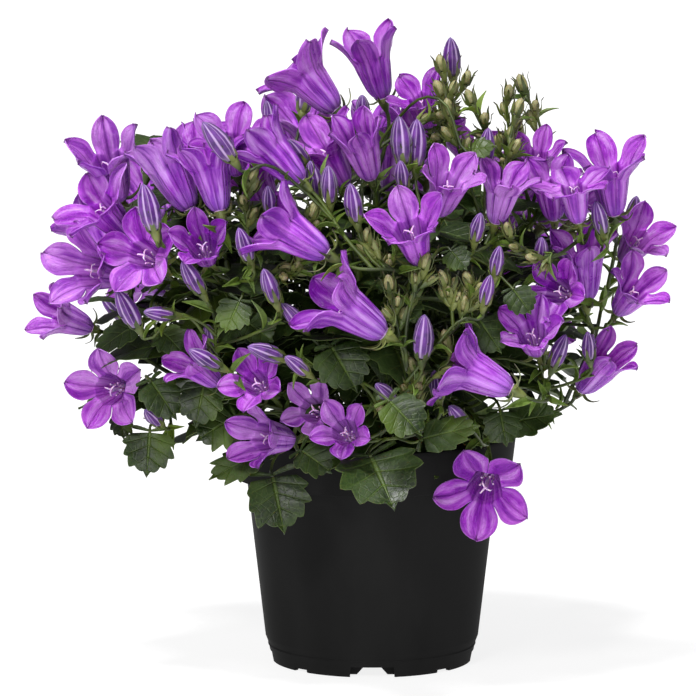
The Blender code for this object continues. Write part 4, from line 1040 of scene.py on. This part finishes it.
def stylePattern():  # a pale stalk with a three-parted tip, and five slim stamens round it
    ovary = start("ovary", bpy.ops.mesh.primitive_cone_add, vertices=10, radius1=style["ovaryRadius"],
                  radius2=style["radius"], depth=style["ovaryHeight"], location=(0, 0, style["ovaryAt"]))
    stalk = start("styleStalk", bpy.ops.mesh.primitive_cylinder_add, vertices=8, radius=style["radius"],
                  depth=style["length"], location=(0, 0, style["length"] / 2 + 1))
    parts = [settle(ovary), settle(stalk)]
    parts += [strand("stigma", 0.5, 0.22, style["stigma"], third * 120 + 10) for third in range(3)]
    parts += [strand("stamen", 0.32, 0.42, style["stamen"], number * 72 + 36) for number in range(5)]
    return smooth(joined(parts, "stylePattern"), 60)


def strand(name, thick, thin, guide, degrees):  # a thin round strand along guide points, mm
    turn = Matrix.Rotation(math.radians(degrees), 3, "Z")
    places = [turn @ Vector(point) for point in guide]
    piece = settle(start(name, bpy.ops.mesh.primitive_circle_add, vertices=6, radius=thick,
                         fill_type="NGON", location=places[0]))
    edit(piece, "FACE")
    share = (thin / thick) ** (1 / (len(places) - 1))
    for before, after in zip(places, places[1:]):
        bpy.ops.mesh.extrude_region_move(TRANSFORM_OT_translate={"value": after - before})
        bpy.ops.transform.resize(value=(share, share, 1))
    bpy.ops.mesh.select_all(action="SELECT")
    bpy.ops.mesh.normals_make_consistent(inside=False)
    bpy.ops.object.mode_set(mode="OBJECT")
    return piece


def makeBlooms():
    pattern = bellPattern()
    readout = readPattern(pattern)
    middle = stylePattern()
    whiteStyle = styleMaterial()
    for piece in (pattern, middle):
        for material in (petalOutside, petalInside, whiteStyle):
            piece.data.materials.append(material)
    for polygon in middle.data.polygons:
        polygon.material_index = 2
    for number, (node, base, direction, size, flare, turn) in enumerate(blooms):
        chance = random.Random(bell["seed"] + number)
        name = f"flower_{number + 1:02d}"
        piece = copyOf(pattern, name)
        matrix = np.array(placed(base, direction, size, turn))
        putPoints(piece, bellPoints(readout, flare, chance) @ matrix[:3, :3].T + matrix[:3, 3])
        # the sheet's own faces are the outside, and the wall's second skin takes the next material
        modify(piece, "SOLIDIFY", thickness=bell["thickness"] * size * mm, offset=0.0,
               material_offset=1, material_offset_rim=0, use_rim=True, use_quality_normals=True)
        heart = copyOf(middle, "heart")
        heart.data.transform(placed(base, direction, size, turn + chance.uniform(0, 1)))
        finishPiece(smooth(joined([piece, heart], name), 60), node)
    shed(pattern, middle)


makeBlooms()
print("blooms")


def addStrand(curve, points, radii):  # a smooth line through points
    spline = curve.splines.new("BEZIER")
    spline.bezier_points.add(len(points) - 1)
    shares = np.linspace(0, 1, len(points))
    for corner, place, share in zip(spline.bezier_points, points, shares):
        corner.co = place * mm
        corner.handle_left_type = "AUTO"
        corner.handle_right_type = "AUTO"
        corner.radius = float(np.interp(share, np.linspace(0, 1, len(radii)), radii))


def makeStalks(stem, rows):
    name = f"stalks_{stem}"
    line = start(name, bpy.ops.curve.primitive_bezier_curve_add)
    curve = line.data
    curve.splines.clear()
    curve.dimensions = "3D"
    curve.resolution_u = 5
    curve.bevel_depth = mm
    curve.bevel_resolution = 1
    curve.use_fill_caps = True
    low, *guides = stemGuide(stem - 1)
    rise = [curvePoint(guides, share / 6) for share in range(7)]
    addStrand(curve, [low] + rise, (stems["radius"], stems["radius"], stems["endRadius"]))
    for points, thick in rows:
        addStrand(curve, points, (thick * 1.2, thick * 0.95, thick * 1.05))
    choose(line)
    bpy.ops.object.convert(target="MESH")
    return finishPiece(smooth(added(name)), f"stem_{stem}", [stalkGreen])


cup = {"sepals": 5, "thickness": 0.3,
       "profile": [(0.0, -5.6), (0.9, -5.4), (1.25, -4.6), (1.75, -3.2), (2.2, -1.6), (2.45, -0.3),
                   (2.3, 0.4), (0.0, 0.6)],
       "widthShares": (0, 0.15, 0.5, 0.85, 1.0), "widths": (0.8, 1.0, 0.66, 0.3, 0.08)}
# how far out and how high five even places along a sepal are, under an open flower and on a bud
openSepal = {"width": 2.2, "sides": 15, "rows": 7,
             "out": [2.1, 3.9, 6.0, 8.0, 9.4], "height": [-0.6, -1.2, -0.8, 0.9, 3.4]}
budSepal = {"width": 2.7, "sides": 8, "rows": 4,
            "out": [2.1, 3.3, 3.8, 3.9, 5.4], "height": [-0.6, 1.0, 4.2, 7.4, 9.8]}


def cupPattern(sepalShape):  # a green cup with five slim sepals
    body = lathe("cupBody", cup["profile"], sepalShape["sides"])
    body.data.transform(Matrix.Scale(1 / mm, 4))
    parts = [body]
    shares = np.linspace(0, 1, 5)
    for number in range(cup["sepals"]):
        sepal = gridSheet("sepal", 2, sepalShape["rows"])
        points = pointsOf(sepal)
        a = points[:, 0] * 2
        s = points[:, 1] + 0.5
        half = sepalShape["width"] / 2 * np.interp(s, cup["widthShares"], cup["widths"])
        out = np.interp(s, shares, sepalShape["out"])
        height = np.interp(s, shares, sepalShape["height"]) + np.abs(a) ** 2 * 0.35 * (1 - s)
        angle = math.radians(72 * number)
        putPoints(sepal, np.column_stack((out * math.cos(angle) - a * half * math.sin(angle),
                                          out * math.sin(angle) + a * half * math.cos(angle), height)))
        modify(sepal, "SOLIDIFY", thickness=cup["thickness"], offset=0.0)
        parts.append(sepal)
    return joined(parts, "cupPattern")


# a bud's outline is its share of the length and its radius there, for a bud one unit long
largeBud = {"sides": 30, "rows": 16, "ribs": 0.1, "twist": 0.3,
            "outline": [(0, 0.06), (0.05, 0.13), (0.25, 0.2), (0.5, 0.21), (0.72, 0.17), (0.88, 0.105),
                        (0.97, 0.045), (1, 0.0)]}
smallBud = {"sides": 15, "rows": 7, "ribs": 0.1, "twist": 0.0,
            "outline": [(0, 0.12), (0.12, 0.22), (0.36, 0.28), (0.6, 0.26), (0.8, 0.2), (0.95, 0.09),
                        (1, 0.0)]}
budSeed = 90


def budPattern(name, shape):  # one unit long, standing on its base
    piece = settle(start(name, bpy.ops.mesh.primitive_uv_sphere_add, segments=shape["sides"],
                         ring_count=shape["rows"], radius=0.5, location=(0, 0, 0.5)))
    points = pointsOf(piece)
    share = np.arccos(np.clip(1 - 2 * points[:, 2], -1, 1)) / np.pi
    angle = np.arctan2(points[:, 1], points[:, 0])
    radius = np.interp(share, *zip(*shape["outline"]))
    radius = radius * (1 + shape["ribs"] * np.cos(5 * angle) * np.clip(share * 4, 0, 1))
    radius = np.where((share < 0.001) | (share > 0.999), 0, radius)
    angle = angle + shape["twist"] * share
    return putPoints(piece, np.column_stack((radius * np.cos(angle), radius * np.sin(angle), share)))


def makeBuds(stem, large, small, patterns):
    chance = random.Random(budSeed + stem)
    for name, rows, material in (("violetBuds", large, violetBud), ("greenBuds", small, greenBud)):
        if rows:
            places = [placed(*row, chance.uniform(0, 6)) for row in rows]
            scatter(f"{name}_{stem}", f"stem_{stem}", patterns[name], places, material, None)


def makeCups(stem, flowers, large, small, patterns):  # flowers hold theirs open, buds upright
    node = f"stem_{stem}"
    places = []
    for number in flowers:
        _, base, direction, size, _, turn = blooms[number]
        places.append(placed(base, direction, size, turn))
    scatter(f"flowerCups_{stem}", node, patterns["openCup"], places, cupGreen)
    places = [placed(base, direction, 0.45 + length / 45, length) for base, direction, length in large]
    places += [placed(base, direction, 0.45 + length / 25, length * 9) for base, direction, length in small]
    scatter(f"budCups_{stem}", node, patterns["budCup"], places, cupGreen)


def leafPattern(across, rowsPerTooth):  # a flat strip, later bent to each leaf's own outline
    return gridSheet("leafPattern", across, leafShape["teeth"] * rowsPerTooth)


def toothPlace(t, side, chance):  # how far the edge stands out there, for teeth of mixed size and point
    teeth = leafShape["teeth"]
    sizes = np.array([[chance.uniform(0.45, 1.3) for _ in range(teeth + 1)] for _ in range(2)])
    which = np.minimum((t * teeth + 1e-6).astype(int), teeth - 1)
    phase = t * teeth - which
    share = chance.uniform(0.0, 1.0)
    blunt = np.sin(np.pi * phase ** 1.35) ** 0.75
    pointed = np.where(phase < 0.7, (phase / 0.7) ** 1.4, ((1 - phase) / 0.3) ** 0.8)
    sharp = (share * blunt * 0.8 + (1 - share) * pointed * 1.3) * sizes[side, which]
    return sharp * np.clip(t * 10, 0, 1) * np.clip((1.04 - t) * 5, 0.3, 1)


def leafPoints(grid, row, chance):  # t runs round the outline, mix from the midrib out to it
    base, along, face, length, breadth, fold, droop = row
    a = grid[:, 0] * 2
    t = np.clip(grid[:, 1] + 0.5, 0, 1)
    side = (a > 0).astype(int)
    sharp = toothPlace(t, side, chance)
    sweep = np.radians(-76 + 160 * t ** 0.92)
    reach = 0.45 + leafShape["toothDepth"] * sharp * 0.7
    edgeX = 0.42 + 1.02 * reach * np.sin(sweep) + 0.025 * sharp
    edgeX -= leafShape["heart"] * np.exp(-((t - 0.14) / 0.12) ** 2)
    edgeY = reach * np.cos(sweep) * 1.04
    edgeX = np.where(t < 0.001, 0.0, np.where(t > 0.999, 1.03, edgeX))
    edgeY = np.where(t < 0.001, 0.03, np.where(t > 0.999, 0.0, edgeY))
    ribX = np.where(t > 0.999, 1.03, t ** leafShape["ribBend"] * 0.97)
    mix = np.abs(a)
    x = ribX * (1 - mix) + edgeX * mix
    y = np.sign(a) * edgeY * mix
    puff = np.sin(np.clip(mix, 0, 1) * np.pi) * np.abs(np.sin((t * leafShape["teeth"] + 0.2) * np.pi))
    curl = chance.uniform(-0.12, 0.16)
    wave = leafShape["wave"] * chance.uniform(0.5, 1.5) * mix ** 2 * np.sin(
        t * chance.uniform(6, 12) + chance.uniform(0, 6) + side * chance.uniform(1, 4))
    rise = fold * np.abs(y) - droop * x * x + puff * leafShape["puff"] + wave + curl * mix ** 2 * np.abs(y)
    along, face = (np.array(way.normalized()) for way in (along, face))
    shape = np.outer(x, along) + np.outer(y * breadth, np.cross(along, face)) + np.outer(rise, face)
    return np.array(base) + length * shape


def makeLeaves(name, stem, rows, pattern):
    grid = pointsOf(pattern)
    parts = []
    for number, row in enumerate(rows):
        chance = random.Random(stem * 100 + number)
        leaf = copyOf(pattern, "leaf")
        putPoints(leaf, leafPoints(grid, row, chance) * mm)
        parts.append(leaf)
    piece = joined(parts, f"{name}_{stem}")
    modify(piece, "SOLIDIFY", thickness=leafShape["thickness"] * mm, offset=0.0, material_offset=1,
           material_offset_rim=0)
    smooth(piece, 70)
    return finishPiece(piece, f"stem_{stem}", [leafTop, leafUnder])


fill = {"leaves": 330, "tries": 16000, "seed": 21, "middle": (-2.0, 6.0, 152.0),
        "reach": (96.0, 82.0, 66.0), "room": 9.5, "bottom": 97.0, "top": 222.0, "slope": 0.22,
        "clear": (13, 14), "rise": (-0.75, 0.95), "share": (0.3, 0.95), "from": (0.25, 0.75),
        "tilt": (-0.5, 0.55), "aside": (-0.5, 0.5), "lean": (-0.5, 0.4), "length": (17.0, 31.0),
        "shape": ((0.8, 1.0), (-0.3, 0.35), (0.05, 0.4))}  # shape is breadth, fold and droop


def inBlooms(spot, room):
    return any((base + direction * 18 * size - spot).length < room * size
               for _, base, direction, size, _, _ in blooms)


def nearStem(spot, guide):  # the stem whose guide point of that number is nearest
    return min(range(1, stems["count"] + 1), key=lambda stem: (stemGuide(stem - 1)[guide] - spot).length)


def squared(face, along):  # a leaf's face, turned square to its length
    return (face - along * face.dot(along)).normalized()


def leafStalk(foot, spot, along, pull):  # points of a bent stalk that runs out into a leaf's midrib
    guides = (foot, pull, spot - along * 9 - up * 2, spot - along * 1.5)
    return [curvePoint(guides, share) for share in (0.0, 0.35, 0.7, 1.0)] + [spot + along]


def fillingLeaves():  # leaves inside the bush that the solids leave out, each on a stalk of its own
    chance = random.Random(fill["seed"])
    rows = []
    tries = 0
    while len(rows) < fill["leaves"] and tries < fill["tries"]:
        tries += 1
        angle = chance.uniform(0, math.tau)
        rise = chance.uniform(*fill["rise"])
        share = chance.uniform(*fill["share"])
        flat = math.sqrt(1 - rise * rise)
        shift = (flat * math.cos(angle), flat * math.sin(angle), rise)
        spot = Vector(fill["middle"]) + Vector(
            [reach * share * part for reach, part in zip(fill["reach"], shift)])
        if spot.z < fill["bottom"] or inBlooms(spot, fill["clear"][0]):
            continue
        if any((row[2][0] - spot).length < fill["room"] for row in rows):
            continue
        stem = nearStem(spot, 4)
        foot = curvePoint(stemGuide(stem - 1)[1:], chance.uniform(*fill["from"]))
        out = Vector((spot.x - potAt.x, spot.y - potAt.y, 0.0)).normalized()
        along = out + up * chance.uniform(*fill["tilt"])
        along += Vector((chance.uniform(*fill["aside"]), chance.uniform(*fill["aside"]), 0))
        along.normalize()
        face = squared((up * 0.9 - out * chance.uniform(*fill["lean"])).normalized(), along)
        length = chance.uniform(*fill["length"])
        if inBlooms(spot + along * length * 0.5, fill["clear"][1]):
            continue
        stalk = leafStalk(foot, spot, along, foot + (spot - foot) * 0.35 + up * 6)
        leaf = (spot, along, face, length, *(chance.uniform(*span) for span in fill["shape"]))
        tip = spot + along * length
        if tip.z < fill["top"] - abs(tip.x) * fill["slope"]:  # none looks out between the top flowers
            rows.append((stem, stalk, leaf))
    return rows


spiral = 2.4  # the turn round a stalk from one bud or slim leaf to the next
spikes = {"seed": 8, "perBud": 4, "lean": 0.55, "from": 0.5, "over": 0.46, "stalk": (3.5, 5.5),
          "length": (4.5, 7.0)}
bracts = {"length": (7.0, 13.0), "width": 0.3, "rows": 5, "most": 5, "apart": 12.0, "span": (0.3, 0.95)}


def alongStalk(points, share):  # a place on a stalk, and the way it runs there
    steps = [(b - a).length for a, b in zip(points, points[1:])]
    reach = share * sum(steps)
    for a, b, step in zip(points, points[1:], steps):
        if reach <= step:
            break
        reach -= step
    return a + (b - a) * min(reach / step, 1.0), (b - a).normalized()


def spikeBuds(points, chance):  # small buds one above the other on a bud's stalk
    rows = []
    turn = chance.uniform(0, math.tau)
    for number in range(spikes["perBud"]):
        share = spikes["from"] + spikes["over"] * number / spikes["perBud"]
        spot, ahead = alongStalk(points, share)
        turn += spiral
        out = turnedTo(ahead, turn) @ Vector((1.0, 0.0, 0.0))
        direction = (ahead + out * spikes["lean"]).normalized()
        base = spot + direction * chance.uniform(*spikes["stalk"])
        rows.append((spot, direction, base, chance.uniform(*spikes["length"])))
    return rows


hairs = {"perStalk": 26, "length": (0.6, 1.1), "radius": 0.05, "from": 0.35}


def hairMaterial():
    finish = Finish("paleHair", Roughness=0.5, Subsurface_Weight=0.2, Subsurface_Scale=0.001)
    tone = finish.noise(finish.place(), 400.0, 2.0)
    finish.into("Base Color", finish.mix(tone.between(0.3, 0.7), shade(120, 132, 84), shade(176, 180, 140)))
    return finish.material


paleHair = hairMaterial()


def hairPattern():  # one short hair, a slim spike one unit long
    return settle(start("hairPattern", bpy.ops.mesh.primitive_cone_add, vertices=3, radius1=hairs["radius"],
                        radius2=0, depth=1, location=(0, 0, 0.5)))


def hairSpots(rows, chance):  # hairs that stand out from the upper part of each stalk
    spots = []
    for points, thick in rows:
        for _ in range(hairs["perStalk"]):
            spot, ahead = alongStalk(points, chance.uniform(hairs["from"], 1.0))
            out = turnedTo(ahead, chance.uniform(0, math.tau)) @ Vector((1.0, 0.0, 0.0))
            direction = out + ahead * chance.uniform(-0.3, 0.5)
            matrix = turnedTo(direction).to_4x4()
            matrix.translation = (spot + out * thick * 0.8) * mm
            length = chance.uniform(*hairs["length"])
            spots.append(matrix @ Matrix.Diagonal((mm, mm, length * mm, 1.0)))
    return spots


def bractPattern():  # a slim small leaf, one unit long
    piece = gridSheet("bractPattern", 2, bracts["rows"])
    points = pointsOf(piece)
    a = points[:, 0] * 2
    s = points[:, 1] + 0.5
    half = bracts["width"] / 2 * np.interp(s, [0, 0.3, 0.6, 1.0], [0.35, 1.0, 0.75, 0.04])
    putPoints(piece, np.column_stack((s, a * half, 0.22 * np.abs(a) * half * 4 + 0.25 * s - 0.45 * s * s)))
    modify(piece, "SOLIDIFY", thickness=0.03, offset=0.0)
    return piece


def bractSpots(rows, chance):  # slim leaves along every stalk
    spots = []
    for points, _ in rows:
        reach = (points[-1] - points[0]).length
        turn = chance.uniform(0, math.tau)
        for number in range(min(bracts["most"], 1 + int(reach / bracts["apart"]))):
            spot, ahead = alongStalk(points, chance.uniform(*bracts["span"]))
            turn += spiral
            frameTurn = turnedTo(ahead, turn)
            out = (frameTurn @ Vector((0.8, 0.0, 0.6))).normalized()
            side = frameTurn @ Vector((0.0, 1.0, 0.0))
            matrix = Matrix((out, side, out.cross(side))).transposed().to_4x4()
            matrix.translation = spot * mm
            spots.append(matrix @ Matrix.Scale(chance.uniform(*bracts["length"]) * mm, 4))
    return spots


low = {"leaves": 84, "seed": 5, "turn": 2.39996, "inner": 24.0, "outer": 68.0, "bottom": 97.0, "top": 134.0,
       "right": 72.0, "rimHeight": 104.0, "rimReach": 50.0, "clear": 15, "from": (-3.0, 6.0),
       "tilt": (-0.45, 0.5), "aside": (-0.7, 0.7), "lean": (-0.1, 0.7), "length": (18.0, 30.0),
       "shape": ((0.9, 1.1), (-0.25, 0.3), (0.1, 0.45))}


def lowLeaves():  # leaves close above the pot, from the feet of the stems
    chance = random.Random(low["seed"])
    rows = []
    for number in range(low["leaves"]):
        angle = number * low["turn"]
        out = Vector((math.cos(angle), math.sin(angle), 0.0))
        reach = chance.uniform(low["inner"], low["outer"])
        spot = potAt + out * reach + up * chance.uniform(low["bottom"], low["top"])
        along = out + up * chance.uniform(*low["tilt"])
        along += Vector((-out.y, out.x, 0.0)) * chance.uniform(*low["aside"])
        along.normalize()
        face = squared((up + out * chance.uniform(*low["lean"])).normalized(), along)
        length = chance.uniform(*low["length"])
        overRim = spot.z < low["rimHeight"] and reach > low["rimReach"]
        if overRim or inBlooms(spot + along * length * 0.5, low["clear"]):
            continue
        if (spot + along * length).x - potAt.x > low["right"]:  # the bush is narrow at its lower right
            continue
        stem = nearStem(spot, 1)
        foot = stemGuide(stem - 1)[1] + up * chance.uniform(*low["from"])
        stalk = leafStalk(foot, spot, along, foot + up * 9 + out * 4)
        leaf = (spot, along, face, length, *(chance.uniform(*span) for span in low["shape"]))
        rows.append((stem, stalk, leaf))
    return rows


def makeStem(stem, patterns, extra):
    chance = random.Random(spikes["seed"] * 10 + stem)
    node = f"stem_{stem}"
    head = heads[stem - 1]
    rows = []
    for number, route in head["flowers"]:
        _, base, axis, size, _, _ = blooms[number]
        rows.append((route + [base - axis * 4 * size], stems["stalkRadius"]))
    for base, axis, _, route in head["large"]:
        rows.append((route + [base - axis], stems["budRadius"]))
    large = [bud[:3] for bud in head["large"]]
    small = [bud[:3] for bud in head["small"]]
    twigs = []
    for base, axis, _, route in head["small"]:
        rows.append((route + [base], stems["budRadius"]))
        for spot, lean, top, size in spikeBuds(route, chance):
            twigs.append(([spot, spot + lean, top - lean * 1.5, top], stems["twigRadius"]))
            small.append((top, lean, size))
    leaves = [leaf for leaf, _ in head["leaves"]]
    leafStalks = [(route + [leaf[0] + leaf[1]], stems["leafRadius"]) for leaf, route in head["leaves"]]
    innerLeaves = [leaf for at, _, leaf in extra if at == stem]
    leafStalks += [(points, stems["leafRadius"]) for at, points, _ in extra if at == stem]
    makeStalks(stem, rows + leafStalks + twigs)
    makeCups(stem, [number for number, _ in head["flowers"]], large, small, patterns)
    makeBuds(stem, large, small, patterns)
    scatter(f"bracts_{stem}", node, patterns["bract"], bractSpots(rows, chance), leafUnder)
    scatter(f"hairs_{stem}", node, patterns["hair"], hairSpots(rows, chance), paleHair)
    makeLeaves("leaves", stem, leaves, patterns["leaf"])
    makeLeaves("innerLeaves", stem, innerLeaves, patterns["plainLeaf"])
    print("stem", stem, "stalks", len(rows + leafStalks + twigs), "leaves", len(leaves + innerLeaves))


def makePlant():
    patterns = {"openCup": cupPattern(openSepal), "budCup": cupPattern(budSepal),
                "violetBuds": budPattern("largeBud", largeBud),
                "greenBuds": budPattern("smallBud", smallBud),
                "bract": bractPattern(), "hair": hairPattern(),
                "leaf": leafPattern(*leafShape["fine"]), "plainLeaf": leafPattern(*leafShape["plain"])}
    extra = fillingLeaves() + lowLeaves()
    for stem in range(1, stems["count"] + 1):
        makeStem(stem, patterns, extra)
    shed(*patterns.values())


makePlant()
print("stems, leaves and buds")


shown = [piece for piece in bpy.context.scene.objects
         if piece.type == "MESH" and piece.name != "floor" and not piece.hide_render]
print("triangles", sum(len(polygon.vertices) - 2 for piece in shown for polygon in piece.data.polygons))
